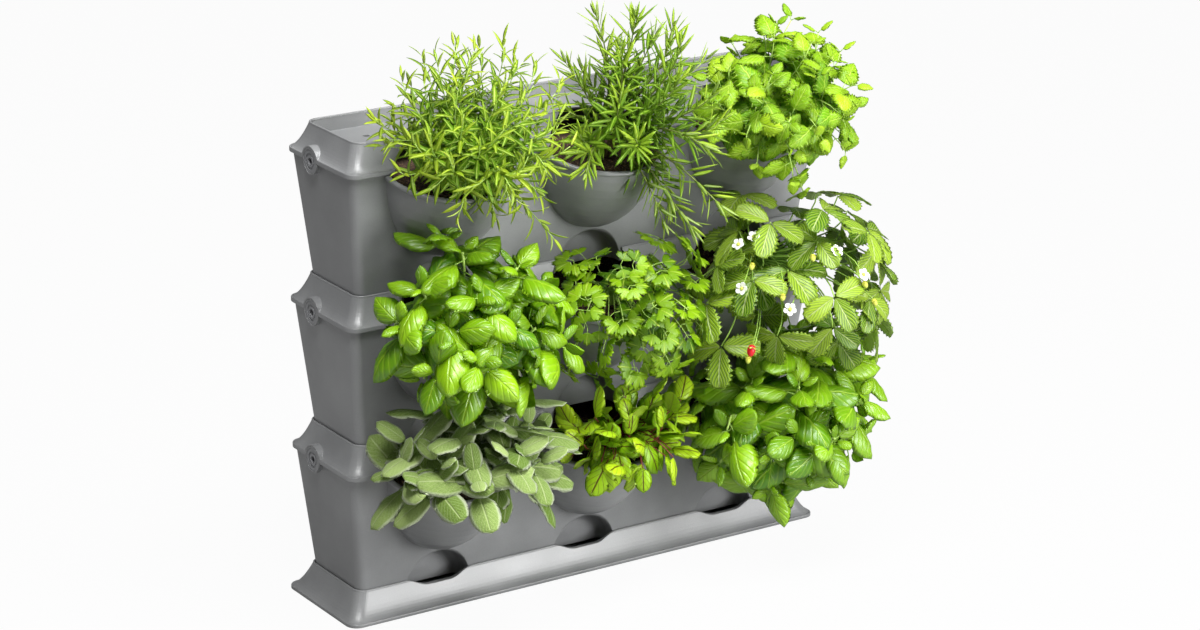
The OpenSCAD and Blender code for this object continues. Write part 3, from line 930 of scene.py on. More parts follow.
@dataclass
class Herb:
    """A herb in its pocket.

    Its shoots spread over its crown, and a few, set in mm from its root, reach out.
    """

    node: str
    pocket: Pocket
    crown: Crown
    leaf: LeafForm
    flesh: LeafFlesh
    stem: StemFlesh
    leaf_mm: float
    seed: int
    shoots: int = 50
    share: float = 0.95
    apart_mm: float = 30.0
    scatter_mm: float = 6.0
    lowest_mm: float = -75.0
    reaching: tuple[tuple[int, int, int], ...] = ()
    inner: float = 0.5
    inner_reach: tuple[float, float] = (0.62, 0.8)
    inner_scatter_mm: float = 8.0
    unrest: float = 0.2
    curve: StemCurve = StemCurve()
    stem_points: int = 12
    stem_mm: float = 1.3
    taper: float = 0.5
    stalk_mm: tuple[float, float] = (0.5, 0.35)
    rise_mm: float = 45.0
    gap_mm: float = 1.5
    size_spread: tuple[float, float] = (0.85, 1.1)
    tint_middle: float = 0.3
    tint_scatter: float = 0.22
    # Painted shade: how much darker a leaf deep inside the crown is drawn
    painted_shade_depth: float = 1.3
    probes: int = 7
    largest_move: float = 0.03
    rng: np.random.Generator = field(init=False)
    leaves: MeshBatch = field(init=False)
    stems: MeshBatch = field(init=False)
    templates: list[Template] = field(init=False)
    root: np.ndarray = field(init=False)

    def __post_init__(self) -> None:
        """Starts the herb's own dice and meshes."""
        self.root = self.pocket.root
        self.rng = np.random.default_rng(self.seed)
        self.leaves = MeshBatch()
        self.stems = MeshBatch()
        self.templates = template_set(self.leaf, self.seed)

    def all_tips(self) -> list[np.ndarray]:
        """Sets out the reaching shoots, those over the crown, and shorter ones among them.

        Returns:
            Their tips, from the root.
        """
        made = [np.array(tip) * MM for tip in self.reaching]
        for place in self.crown.spread(self.shoots, self.share):
            place = place + self.rng.normal(0, self.scatter_mm, 3) * MM
            apart = min(np.linalg.norm(place - other) for other in made)
            if self.pocket.allows(place, self.lowest_mm) and apart > self.apart_mm * MM:
                made.append(place)
        for tip in list(made):
            if self.rng.random() < self.inner:
                made.append(tip * self.rng.uniform(*self.inner_reach)
                            + self.rng.normal(0, self.inner_scatter_mm, 3) * MM)
        return made

    def path(self, tip: np.ndarray, points: int) -> np.ndarray:
        """Lays a stem from the root to a tip, clear of the plastic.

        Args:
            tip: the tip, from the root.
            points: how many points it has.

        Returns:
            The stem's points.
        """
        curve, spread_mm = self.curve, self.curve.foot_spread_mm
        start = np.array([*self.rng.uniform(-spread_mm, spread_mm, 2), -curve.foot_depth_mm]) * MM
        reach = float(np.linalg.norm(tip))
        lift = curve.upward if tip[2] > curve.high_from * reach else curve.downward
        stray = self.rng.normal(0, self.unrest, 3)
        ending = unit(curve.outward * self.crown.outward(tip) + lift * UP + stray)
        rise = np.array([curve.drift * tip[0], curve.drift * tip[1],
                         max(self.rise_mm * MM, curve.climb * tip[2])])
        bend = tip - ending * curve.ending * reach
        t = np.linspace(0, 1, points)[:, None]
        line = (1 - t) ** 3 * start + 3 * (1 - t) ** 2 * t * rise + 3 * (1 - t) * t ** 2 * bend + t ** 3 * tip
        line = self.root + line
        for k in range(curve.clear_from, points):
            line[k] += PLASTIC.shortfall(line[k], self.gap_mm * MM)
        return line

    def shade(self, place: np.ndarray) -> float:
        """Picks a leaf's tint: a random tone, plus painted shade that darkens the leaf the deeper inside the
        crown it is.

        Args:
            place: the leaf's foot.

        Returns:
            The tint, from 0 to 1.
        """
        # Painted shade: the deeper inside the crown, the darker the leaf
        depth = 1 - min(1.0, self.crown.share_out(place - self.root))
        return float(np.clip(self.rng.normal(self.tint_middle, self.tint_scatter)
                             + self.painted_shade_depth * depth, 0, 1))

    def leaf_length(self) -> float:
        """Draws the length of a full leaf."""
        return self.leaf_mm * MM * self.rng.uniform(*self.size_spread)

    def put_leaf(self, origin: np.ndarray, along: np.ndarray, facing: np.ndarray, length: float) -> None:
        """Puts one leaf, moved back to the planter's box and clear of the plastic.

        One that the plastic would push too far is left out.

        Args:
            origin: where its foot is.
            along: the direction from its foot to its tip.
            facing: the way its upper side faces.
            length: its length.
        """
        shape = self.templates[int(self.rng.integers(len(self.templates)))]
        shade = self.shade(origin)
        a = unit(along)
        c = unit(facing - a * np.dot(facing, a))
        b = np.cross(c, a)
        probe = shape.points[:: max(1, len(shape.points) // self.probes)] * length
        probe = origin + probe @ np.stack([a, b, c])
        past = (np.maximum(probe.max(axis=0) - np.array(CAD_BOX[1]) - LEAF_REACH, 0)
                + np.minimum(probe.min(axis=0) - np.array(CAD_BOX[0]) + LEAF_REACH, 0))
        origin, probe = origin - past, probe - past
        move = PLASTIC.shift(probe, self.gap_mm * MM)
        if np.linalg.norm(move) <= self.largest_move:
            self.leaves.add(shape, origin + move, a, c, length, shade)

    def put_stem(self, line: np.ndarray, foot_mm: float, tip_mm: float) -> None:
        """Puts one stem.

        Args:
            line: its points.
            foot_mm: its radius at its foot.
            tip_mm: its radius at its tip.
        """
        self.stems.add_tube(line, np.linspace(foot_mm, tip_mm, len(line)) * MM)

    def put_stalk(self, foot: np.ndarray, end: np.ndarray, into: np.ndarray) -> None:
        """Puts a leaf's short stalk, from its foot to its end and a little way into the leaf."""
        self.put_stem(np.array([foot, end, end + into]), *self.stalk_mm)

    def grown_stems(self) -> Iterator[tuple[np.ndarray, np.ndarray]]:
        """Grows the stem of each shoot.

        Yields:
            The shoot's tip, from the root, and its stem's points.
        """
        for tip in self.all_tips():
            line = self.path(tip, self.stem_points)
            self.put_stem(line, self.stem_mm, self.taper * self.stem_mm)
            yield tip, line

    def grow(self) -> None:
        """Grows the herb's stems and leaves."""
        raise NotImplementedError

    def build(self) -> None:
        """Grows the herb and makes its pieces, which stand for its CAD solid."""
        self.grow()
        body = self.pocket.body
        leaves = self.leaves.to_object(f"{self.node}_leaves", self.flesh.material(), body, self.node)
        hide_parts(self.node)
        if self.stems.count:
            self.stems.to_object(f"{self.node}_stems", self.stem.material(), body, self.node)


def leaning(axis: np.ndarray, side: np.ndarray, lean: float) -> tuple[np.ndarray, np.ndarray]:
    """Leans a leaf out from its shoot.

    Args:
        axis: the shoot's direction.
        side: the side that the leaf leans to.
        lean: the angle from the shoot.

    Returns:
        The leaf's direction, and the way its upper side faces.
    """
    return axis * math.cos(lean) + side * math.sin(lean), axis * math.sin(lean) - side * math.cos(lean)


def point_back(line: np.ndarray, back: float) -> tuple[np.ndarray, np.ndarray]:
    """Walks back along a stem from its tip.

    Args:
        line: the stem's points.
        back: how far.

    Returns:
        The point there and the stem's direction.
    """
    for k in range(len(line) - 1, 0, -1):
        step = float(np.linalg.norm(line[k] - line[k - 1]))
        if back <= step or k == 1:
            share = min(1.0, back / max(step, 1e-9))
            return line[k] + share * (line[k - 1] - line[k]), unit(line[k] - line[k - 1])
        back -= step
    return line[0], unit(line[1] - line[0])


@dataclass
class RosetteHerb(Herb):
    """A herb whose shoots end in crossed pairs of leaves, as basil and sage do.

    A pair is a share of the full length, an angle from the shoot in degrees and a distance below its tip in
    mm. The pairs longer than stalked_from have stalks.
    """

    stem_points: int = 9
    taper: float = 0.7
    stalk_mm: tuple[float, float] = (0.8, 0.5)
    pairs: tuple[tuple[float, float, float], ...] = ((1.0, 84, 28), (0.96, 74, 12), (0.7, 56, 4),
                                                     (0.4, 30, 0))
    petiole: float = 0.18
    stalked_from: float = 0.5
    upward: float = 0.55
    axis_scatter: float = 0.12
    turn_scatter: float = 0.15
    lean_scatter_deg: float = 7.0
    leaf_spread: tuple[float, float] = (0.88, 1.08)

    def grow(self) -> None:
        """Grows each shoot and its pairs."""
        for tip, line in self.grown_stems():
            out = self.crown.outward(tip)
            axis = unit(out + self.upward * UP + self.rng.normal(0, self.axis_scatter, 3))
            turn = self.rng.uniform(0, math.pi)
            size = self.leaf_length()
            for k, (share, angle, below) in enumerate(self.pairs):
                foot = line[-1] - axis * below * MM * size / (self.leaf_mm * MM)
                crossed = turn + k * math.pi / 2 + self.rng.normal(0, self.turn_scatter)
                side = turn_about(square_to(axis), axis, crossed)
                for sign in (1, -1):
                    lean = math.radians(angle + self.rng.normal(0, self.lean_scatter_deg))
                    along, facing = leaning(axis, sign * side, lean)
                    length = size * share * self.rng.uniform(*self.leaf_spread)
                    stalk = foot + along * self.petiole * length
                    self.put_leaf(stalk, along, facing, length)
                    if share > self.stalked_from:
                        self.put_stalk(foot, stalk, along * 0.04 * length)


@dataclass
class SprigHerb(Herb):
    """A herb whose shoots carry narrow leaves all along, as tarragon and rosemary do.

    Towards the tip of a sprig the leaves close up to it and get shorter.
    """

    taper: float = 0.4
    size_spread: tuple[float, float] = (0.75, 1.15)
    spacing_mm: float = 5.0
    leafy_from: float = 0.35
    fewest: int = 4
    angle_deg: float = 50.0
    lean_scatter_deg: float = 9.0
    opening: float = 1.15
    closing: float = 0.75
    shortening: float = 0.35
    turn_each: float = 2.4
    upward: float = 0.5
    whorl: int = 1

    def grow(self) -> None:
        """Grows each sprig and its leaves."""
        for _, line in self.grown_stems():
            length = float(np.sum(np.linalg.norm(np.diff(line, axis=0), axis=1)))
            count = max(self.fewest, int(length * (1 - self.leafy_from) / (self.spacing_mm * MM)))
            turn = self.rng.uniform(0, 2 * math.pi)
            for k in range(count + 1):
                at = (self.leafy_from + (1 - self.leafy_from) * k / count) * (len(line) - 1)
                low = min(int(at), len(line) - 2)
                foot = line[low] + (at - low) * (line[low + 1] - line[low])
                axis = unit(line[low + 1] - line[low])
                turn += self.turn_each
                angle = self.angle_deg * (self.opening - self.closing * (k / count) ** 3)
                shorter = 1 - self.shortening * (k / count) ** 4
                for j in range(self.whorl):
                    side = turn_about(square_to(axis), axis, turn + 2 * math.pi * j / self.whorl)
                    lean = math.radians(angle + self.rng.normal(0, self.lean_scatter_deg))
                    along, facing = leaning(axis, side, lean)
                    self.put_leaf(foot, along, facing + self.upward * UP, self.leaf_length() * shorter)


@dataclass
class BalmHerb(Herb):
    """A herb whose shoots carry crossed pairs of toothed leaves, as lemon balm does.

    A pair is a share of the full length and an angle from the shoot in degrees. The first is at the tip.
    """

    size_spread: tuple[float, float] = (0.8, 1.1)
    spacing_mm: float = 20.0
    pairs: tuple[tuple[float, float], ...] = ((0.45, 40), (0.85, 68), (1.0, 80), (0.9, 86))
    petiole: float = 0.25
    axis_upward: float = 0.25
    upward: float = 0.35
    lean_scatter_deg: float = 9.0

    def grow(self) -> None:
        """Grows each shoot and its pairs."""
        for _, line in self.grown_stems():
            turn = self.rng.uniform(0, math.pi)
            for k, (share, angle) in enumerate(self.pairs):
                foot, axis = point_back(line, k * self.spacing_mm * MM)
                axis = unit(axis + self.axis_upward * UP)
                for sign in (1, -1):
                    side = sign * turn_about(square_to(axis), axis, turn + k * math.pi / 2)
                    lean = math.radians(angle + self.rng.normal(0, self.lean_scatter_deg))
                    along, facing = leaning(axis, side, lean)
                    length = self.leaf_mm * MM * share * self.rng.uniform(*self.size_spread)
                    stalk = foot + along * self.petiole * length
                    self.put_stalk(foot, stalk, along * 0.05 * length)
                    self.put_leaf(stalk, along, facing + self.upward * UP, length)


@dataclass
class PetioleHerb(Herb):
    """A herb whose leaves stand on long stalks from its root, as sorrel's do. Its low leaves hang."""

    stem_points: int = 9
    taper: float = 0.7
    size_spread: tuple[float, float] = (0.75, 1.1)
    tuft: int = 3
    tuft_step: float = 0.12
    tuft_scatter_mm: float = 7.0
    hanging_below_mm: float = 12.0
    along_scatter: float = 0.3
    facing_scatter: float = 0.2

    def grow(self) -> None:
        """Grows a tuft of leaves round each tip, each leaf on its own stalk."""
        for tip in self.all_tips():
            for k in range(self.tuft):
                scatter_mm = self.tuft_scatter_mm if k else 0
                place = tip * (1 - self.tuft_step * k) + self.rng.normal(0, scatter_mm, 3) * MM
                out = self.crown.outward(place)
                lift, tilt = (-0.9, 0.3) if place[2] < self.hanging_below_mm * MM else (0.35, 0.9)
                length = self.leaf_length()
                along = unit(0.8 * out + lift * UP + self.rng.normal(0, self.along_scatter, 3))
                line = self.path(place - along * 0.5 * length, self.stem_points)
                facing = unit(out + tilt * UP + self.rng.normal(0, self.facing_scatter, 3))
                self.put_stem(line, self.stem_mm, self.taper * self.stem_mm)
                self.put_leaf(line[-1], along, facing, length)


@dataclass
class CorianderHerb(Herb):
    """Coriander: leaves of five toothed fans, on pale thin stalks.

    A pair of side fans is a distance below the middle fan in mm, a share of its size and an angle in degrees.
    """

    stem_points: int = 10
    stalk_mm: tuple[float, float] = (0.4, 0.3)
    size_spread: tuple[float, float] = (0.8, 1.15)
    side_fans: tuple[tuple[float, float, float], ...] = ((4.0, 0.92, 68), (17.0, 0.8, 80))
    petiole: float = 0.3
    upward: float = 0.5
    facing_scatter: float = 0.4
    turn_scatter: float = 1.2
    fan_scatter_deg: float = 6.0
    tilt_scatter: float = 0.2

    def grow(self) -> None:
        """Grows each leaf's stalk and its fans."""
        for tip, line in self.grown_stems():
            out = self.crown.outward(tip)
            facing = unit(out + self.upward * UP + self.rng.normal(0, self.facing_scatter, 3))
            axis = unit(line[-1] - line[-3])
            axis = unit(axis - facing * np.dot(axis, facing) + 1e-3)
            axis = turn_about(axis, facing, self.rng.normal(0, self.turn_scatter))
            size = self.leaf_length()
            self.put_leaf(line[-1], axis, facing, size)
            for below, share, angle in self.side_fans:
                foot = line[-1] - axis * below * MM
                for sign in (1, -1):
                    fan_turn = math.radians(sign * angle + self.rng.normal(0, self.fan_scatter_deg))
                    side = turn_about(axis, facing, fan_turn)
                    tilt = unit(facing + self.rng.normal(0, self.tilt_scatter, 3))
                    stalk = foot + side * self.petiole * size
                    self.put_stalk(foot, stalk, side * MM)
                    self.put_leaf(stalk, side, tilt, size * share)


@dataclass
class StrawberryHerb(Herb):
    """Wild strawberry: leaves of three toothed leaflets on long stalks, small white flowers and berries.

    A leaflet is an angle from the leaf's middle in degrees and a share of the full length. Flowers and
    berries are set in mm from the root.
    """

    taper: float = 0.7
    size_spread: tuple[float, float] = (0.85, 1.12)
    leaflets: tuple[tuple[float, float], ...] = ((0, 1.0), (82, 0.92), (-82, 0.92))
    upward: float = 0.6
    facing_scatter: float = 0.35
    turn_scatter: float = 0.7
    leaflet_scatter_deg: float = 8.0
    leaflet_offset_mm: float = 1.5
    flowers: tuple[tuple[int, int, int], ...] = ()
    young_berries: tuple[tuple[int, int, int], ...] = ()
    ripe_berries: tuple[tuple[int, int, int], ...] = ()
    flower_points: int = 10
    flower_stem_mm: tuple[float, float] = (0.7, 0.5)
    petals_each: int = 5
    petal_mm: float = 7.0
    heart_mm: float = 2.4
    young_mm: float = 3.6
    ripe_mm: float = 5.6
    sepals_each: int = 7
    sepal: float = 1.6
    petals: MeshBatch = field(init=False)
    hearts: MeshBatch = field(init=False)
    fruit: MeshBatch = field(init=False)

    def __post_init__(self) -> None:
        """Starts the meshes of the flowers and the berries too."""
        super().__post_init__()
        self.petals, self.hearts, self.fruit = MeshBatch(), MeshBatch(), MeshBatch()

    def grow(self) -> None:
        """Grows the leaves, the flowers and the berries."""
        for tip, line in self.grown_stems():
            out = self.crown.outward(tip)
            facing = unit(out + self.upward * UP + self.rng.normal(0, self.facing_scatter, 3))
            down = unit(np.cross(facing, np.cross(np.array([0.0, 0.0, -1.0]) + 0.4 * out, facing)))
            axis = turn_about(down, facing, self.rng.normal(0, self.turn_scatter))
            size = self.leaf_length()
            for angle, share in self.leaflets:
                leaflet_turn = math.radians(angle + self.rng.normal(0, self.leaflet_scatter_deg))
                side = turn_about(axis, facing, leaflet_turn)
                tilt = unit(facing - 0.18 * side)
                self.put_leaf(line[-1] + side * self.leaflet_offset_mm * MM, side, tilt, size * share)
        for place in self.flowers:
            self.put_flower(np.array(place) * MM)
        for place in self.young_berries:
            self.put_berry(np.array(place) * MM, self.young_mm, self.hearts)
        for place in self.ripe_berries:
            self.put_berry(np.array(place) * MM, self.ripe_mm, self.fruit)

    def put_flower(self, place: np.ndarray) -> None:
        """Puts a flower on its stalk.

        Args:
            place: its middle, from the root.
        """
        line = self.path(place, self.flower_points)
        self.put_stem(line, *self.flower_stem_mm)
        facing = unit(self.crown.outward(place) + 0.3 * UP)
        petal = PETAL.template(self.seed)
        start = self.rng.uniform(0, math.pi)
        for k in range(self.petals_each):
            side = turn_about(square_to(facing), facing, start + 2 * math.pi * k / self.petals_each)
            self.petals.add(petal, line[-1] + side * 1.2 * MM, side + 0.15 * facing, facing,
                            self.petal_mm * MM, 0.5)
        self.put_bead(self.hearts, line[-1] + facing * 1.0 * MM, facing, self.heart_mm, 0.7)

    def put_berry(self, place: np.ndarray, radius_mm: float, batch: MeshBatch) -> None:
        """Puts a berry under its calyx.

        Args:
            place: its middle, from the root.
            radius_mm: its radius.
            batch: the mesh that it goes into.
        """
        line = self.path(place, self.flower_points)
        self.put_stem(line, *self.flower_stem_mm)
        down = unit(0.6 * self.crown.outward(place) - UP)
        self.put_bead(batch, line[-1] + down * 0.9 * radius_mm * MM, down, radius_mm, 1.25)
        sepal = SEPAL.template(self.seed)
        for k in range(self.sepals_each):
            side = turn_about(square_to(down), down, 2 * math.pi * k / self.sepals_each)
            self.hearts.add(sepal, line[-1], side + 0.2 * down, -down, self.sepal * radius_mm * MM, 0.4)

    @staticmethod
    def put_bead(batch: MeshBatch, middle: np.ndarray, axis: np.ndarray, radius_mm: float,
                 stretch: float) -> None:
        """Puts a round body that narrows along its axis.

        Args:
            batch: the mesh that it goes into.
            middle: its middle.
            axis: the way it narrows.
            radius_mm: its radius.
            stretch: its length as a share of its width.
        """
        angles = np.linspace(0.06, math.pi - 0.06, 8)
        path = middle - np.cos(angles)[:, None] * radius_mm * stretch * MM * axis
        radii = np.sin(angles) ** 0.9 * radius_mm * MM * np.interp(angles, [0, math.pi], [1.05, 0.75])
        batch.add_tube(path, radii, 0.5, 10)

    def build(self) -> None:
        """Grows the herb and makes its pieces."""
        super().build()
        for part, batch, flesh in (("petals", self.petals, STRAWBERRY_PETAL),
                                   ("flower_hearts", self.hearts, STRAWBERRY_HEART),
                                   ("berry", self.fruit, STRAWBERRY_RED)):
            batch.to_object(f"{self.node}_{part}", flesh.material(), self.pocket.body, self.node)


PLASTIC = Clearance([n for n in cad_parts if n.startswith(("tub", "lid", "base"))])

STRAWBERRY_PETAL = PetalFlesh("white_petal", "#f4f6e0", "#ffffff")
STRAWBERRY_HEART = PetalFlesh("yellow_flower_heart", "#d8c531", "#c9d65a", through=0.1)
STRAWBERRY_RED = PetalFlesh("ripe_strawberry", "#b3101c", "#d8202a", roughness=0.3, through=0.1)

BASIL_LEAF = LeafForm(Outline.OVATE, 0.66, bend=0.9, dome=0.19, pucker=0.010, puckers=3.5, ruffle=0.016,
                      rows=12, columns=4)
SAGE_LEAF = LeafForm(Outline.OVAL, 0.58, bend=0.5, dome=0.09, ruffle=0.02, rows=12, columns=4, thickness=0.02)
SORREL_LEAF = LeafForm(Outline.OVAL, 0.68, bend=0.6, dome=0.10, ruffle=0.02, rows=9, columns=3)
TARRAGON_LEAF = LeafForm(Outline.LANCE, 0.18, bend=0.6, dome=0.01, fold=0.03, rows=6, columns=1,
                         thickness=0.02)
ROSEMARY_LEAF = LeafForm(Outline.NEEDLE, 0.13, bend=0.35, dome=0.02, rows=4, columns=1, thickness=0.03)
BALM_LEAF = LeafForm(Outline.HEART, 0.80, bend=0.7, dome=0.12, teeth=7, tooth_depth=0.08, rows=16, columns=2,
                     pucker=0.018, puckers=4, ruffle=0.02)
STRAWBERRY_LEAF = LeafForm(Outline.WEDGE, 0.64, bend=0.5, dome=0.04, fold=0.10, teeth=9, tooth_depth=0.12,
                           rows=18, columns=3, pucker=0.012, puckers=4)
CORIANDER_LEAF = LeafForm(Outline.FAN, 1.0, bend=0.4, dome=0.10, teeth=9, tooth_depth=0.07, rows=5,
                          columns=18, ruffle=0.06, thickness=0.03)
PETAL = LeafForm(Outline.OVAL, 0.95, bend=-0.3, dome=-0.08, rows=5, thickness=0.05)
SEPAL = LeafForm(Outline.LANCE, 0.45, bend=0.5, dome=0.02, rows=4, columns=1)

# In the leaf fleshes below, pleat sets the strength of the painted shade across each pleat
BASIL_FLESH = LeafFlesh("basil_leaf", young="#a2d210", old="#4f8a00", vein="#b8dc34", back="#b0d244",
                        margin="#93c40c", roughness=0.33, specular=0.9, side_veins=5, vein_width=0.24,
                        vein_share=0.3, midrib_share=0.6, vein_depth_mm=1.6, mottle_mm=9.0, painted_pleat_shade=0.1)
# A lighter copy of the basil's leaf for the bottom basil: painted light, with deeper vein bumps
BASIL_FLESH_PAINTED_LIGHTER = replace(BASIL_FLESH, name="basil_leaf_painted_lighter", young="#a8d81c", old="#548e06",
                          vein="#bee048", back="#b0d450", margin="#96c818", vein_depth_mm=1.8)
SAGE_FLESH = LeafFlesh("sage_leaf", young="#a6bc72", old="#5c7826", vein="#c8d69a", back="#b8ca92",
                       margin="#f0f5de", margin_from=0.72, side_veins=9, vein_slant=0.4, vein_width=0.2,
                       vein_share=0.16, midrib_share=0.5, mottle_mm=1.6, mottle=1.0, roughness=0.75,
                       specular=0.25, through=0.2, vein_depth_mm=2.4, sheen=0.12)
SORREL_FLESH = LeafFlesh("red_veined_sorrel_leaf", young="#cce828", old="#98c81a", vein="#561814",
                         back="#c8de50", margin="#b4da24", side_veins=4, vein_width=0.08, vein_share=0.8,
                         midrib_width=0.1, midrib_share=1.0, roughness=0.36)
TARRAGON_FLESH = LeafFlesh("tarragon_leaf", young="#c8de34", old="#689c14", vein="#d2e260", back="#d2e090",
                           margin="#b0d030", side_veins=1, vein_width=0.01, midrib_width=0.3, roughness=0.4)
ROSEMARY_FLESH = replace(TARRAGON_FLESH, name="rosemary_needle", young="#bcd83c", old="#6c9c1c",
                         vein="#aac84c", back="#ccd8a8", margin="#9cc430", roughness=0.36)
BALM_FLESH = LeafFlesh("lemon_balm_leaf", young="#bade28", old="#72ac0c", vein="#cdec58", back="#c8e858",
                       margin="#aee018", side_veins=6, vein_width=0.2, roughness=0.4, vein_depth_mm=1.2,
                       painted_pleat_shade=0.4)
CORIANDER_FLESH = LeafFlesh("coriander_leaf", young="#98c210", old="#3e6c00", vein="#bcd44c", back="#a8c840",
                            margin="#84bc10", side_veins=1, vein_width=0.01, midrib_width=0.08,
                            roughness=0.4)
STRAWBERRY_FLESH = LeafFlesh("wild_strawberry_leaf", young="#b0ce3c", old="#386c04", vein="#d6e69c",
                             back="#c4d898", margin="#9cc834", side_veins=6.5, vein_slant=0.6,
                             vein_width=0.12, vein_share=0.7, roughness=0.34, vein_depth_mm=1.6,
                             mottle_mm=8.0, mottle=0.2, painted_pleat_shade=1.3)

GREEN_STEM = StemFlesh("green_stem", "#9cc24e", "#6f9a3a")
PALE_STEM = StemFlesh("pale_stem", "#b4d468", "#93bb4c")
WOODY_STEM = StemFlesh("woody_stem", "#8aa04a", "#5e4a30")
SAGE_STEM = StemFlesh("downy_sage_stem", "#a9bd8e", "#7f8a62")
RED_STEM = StemFlesh("red_sorrel_stalk", "#7a2a22", "#5f1c1a")


def herbs() -> list[Herb]:
    """Sets out the nine herbs, from the top row down. Their reaching shoots are in mm from each root.

    Returns:
        The herbs.
    """
    return [
        SprigHerb(
            "tarragon", Pocket(3, -1), Crown(-11, 50, 70, 200, 190, 8), TARRAGON_LEAF, TARRAGON_FLESH,
            PALE_STEM, 31, seed=11, shoots=92, share=0.98, apart_mm=28, unrest=0.4, spacing_mm=5.5,
            stem_mm=1.0, angle_deg=56,
            reaching=((-60, -50, 160), (-30, -80, 165), (-110, -10, 85), (-110, -60, 40), (-65, -105, -5),
                      (50, -115, -45), (70, -115, 55), (25, -130, 10))),
        SprigHerb(
            "rosemary", Pocket(3, 0), Crown(0, 60, 60, 170, 226, 8), ROSEMARY_LEAF, ROSEMARY_FLESH,
            WOODY_STEM, 38, seed=12, shoots=46, apart_mm=38, lowest_mm=40, inner=0.1, spacing_mm=6.6,
            stem_mm=1.5, angle_deg=44, whorl=2,
            reaching=((-10, -60, 182), (-35, -20, 165), (-55, -95, 150), (5, -125, 156), (-70, -15, 115),
                      (75, -110, 55), (70, -120, -45), (45, -100, -70), (20, -80, -65), (40, -135, 30),
                      (-55, -130, 55), (-85, -80, 10))),
        BalmHerb(
            "lemon_balm", Pocket(3, 1), Crown(2, 48, 42, 176, 180, 12), BALM_LEAF, BALM_FLESH, PALE_STEM, 40,
            seed=13, shoots=60, apart_mm=32, lowest_mm=-35, inner=0.3, unrest=0.4, stem_mm=1.2,
            reaching=((-20, -60, 135), (5, -95, 120), (-75, -50, 90), (-85, -30, 75), (40, -120, -5),
                      (0, -95, -50), (-25, -110, -30), (25, -135, 35))),
        RosetteHerb(
            "basil_middle", Pocket(2, -1), Crown(-18, 52, 38, 204, 176, 25), BASIL_LEAF, BASIL_FLESH,
            PALE_STEM, 63, seed=21, shoots=38, share=0.84, apart_mm=39, inner=0.2, stem_mm=2.0,
            reaching=((-40, -75, 118), (10, -105, 100), (-112, -65, 45), (-90, -105, 0), (28, -120, -15),
                      (65, -108, 5), (-55, -135, 15))),
        CorianderHerb(
            "coriander", Pocket(2, 0), Crown(0, 38, 7, 182, 168, 20), CORIANDER_LEAF, CORIANDER_FLESH,
            PALE_STEM, 20, seed=22, shoots=72, apart_mm=26, inner=0.4, stem_mm=0.9,
            reaching=((5, -100, 60), (-50, -50, 75), (-80, -50, 45), (-88, -37, 15), (28, -118, 18),
                      (-27, -97, -50), (-70, -28, -68), (-45, -45, -68), (-30, -82, -60))),
        StrawberryHerb(
            "strawberry", Pocket(2, 1), Crown(20, 64, 18, 228, 200, 20), STRAWBERRY_LEAF, STRAWBERRY_FLESH,
            GREEN_STEM, 46,
            seed=23, shoots=54, share=0.88, apart_mm=34, inner=0.4, stem_mm=1.2,
            reaching=((-64, -64, 77), (-42, -93, 92), (14, -115, 104), (60, -142, 77), (-74, -106, 33),
                      (-51, -125, -32), (80, -130, 50), (60, -150, 0), (-94, -3, -6), (-90, -60, 40),
                      (-100, -85, -48), (-110, -68, 0)),
            flowers=((-67, -96, 80), (-86, -93, 73), (8, -152, 66), (-98, -118, 30), (-55, -152, 8),
                     (35, -168, 38), (-48, -61, -57)),
            young_berries=((-26, -152, 67), (-93, -130, 62), (-58, -142, 23), (-88, -122, -52), (50, -170, 6),
                           (35, -170, 30)),
            ripe_berries=((-84, -122, -40),)),
        RosetteHerb(
            "sage", Pocket(1, -1), Crown(-14, 52, 42, 204, 176, 14), SAGE_LEAF, SAGE_FLESH, SAGE_STEM, 61,
            seed=31, shoots=34, share=0.82, apart_mm=42, lowest_mm=12, inner=0.3, stem_mm=2.0, upward=1.0,
            pairs=((1.0, 82, 24), (0.95, 66, 12), (0.6, 40, 3)),
            reaching=((-50, -100, 100), (-83, -100, 70), (-10, -130, 73), (-98, -62, 82), (-7, -96, 110),
                      (-110, -57, 50), (25, -110, 90), (-55, -128, 54), (-93, -100, 48), (20, -132, 58))),
        PetioleHerb(
            "red_sorrel", Pocket(1, 0), Crown(0, 34, 26, 170, 140, 15), SORREL_LEAF, SORREL_FLESH, RED_STEM,
            38, seed=32, shoots=56, apart_mm=26, lowest_mm=-10, inner=0.8, stem_mm=0.8,
            reaching=((-75, -30, 58), (0, -56, 88), (17, -95, 60), (25, -110, 0), (-63, -80, -5),
                      (-20, -108, -5), (-79, -7, 30))),
        RosetteHerb(
            "basil_bottom", Pocket(1, 1), Crown(12, 54, 24, 216, 188, 15), BASIL_LEAF, BASIL_FLESH_PAINTED_LIGHTER,
            PALE_STEM, 60, seed=33, shoots=40, share=0.85, apart_mm=42, inner=0.1, stem_mm=1.8,
            reaching=((107, -88, 73), (33, -106, 100), (10, -83, 114), (-38, -104, -52), (59, -141, 52),
                      (-70, 23, 47), (-85, 7, 5), (12, -158, 15), (-79, -61, -27), (-88, -85, 23))),
    ]


# Planter and soil


@dataclass
class Planter:
    """The moulded planter: its CAD pieces, with the finishes that their plastics have."""

    grey: MouldedPolypropylene = MouldedPolypropylene("moulded_grey_polypropylene", "#7c7d7e", "#8b8c8d")
    plug: MouldedPolypropylene = MouldedPolypropylene("moulded_plug_polypropylene", "#7a7b7d", "#868789",
                                                      roughness=0.38, edge_mm=0.6)

    def dress(self) -> None:
        """Gives each plastic piece its material."""
        grey, plug = self.grey.material(), self.plug.material()
        for name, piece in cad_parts.items():
            if name.startswith(("base", "tub", "lid", "plug")):
                finish = plug if name.startswith("plug") else grey
                for place in piece.material_slots:
                    place.material = finish
                LOG.info("%s: %s", name, finish.name)


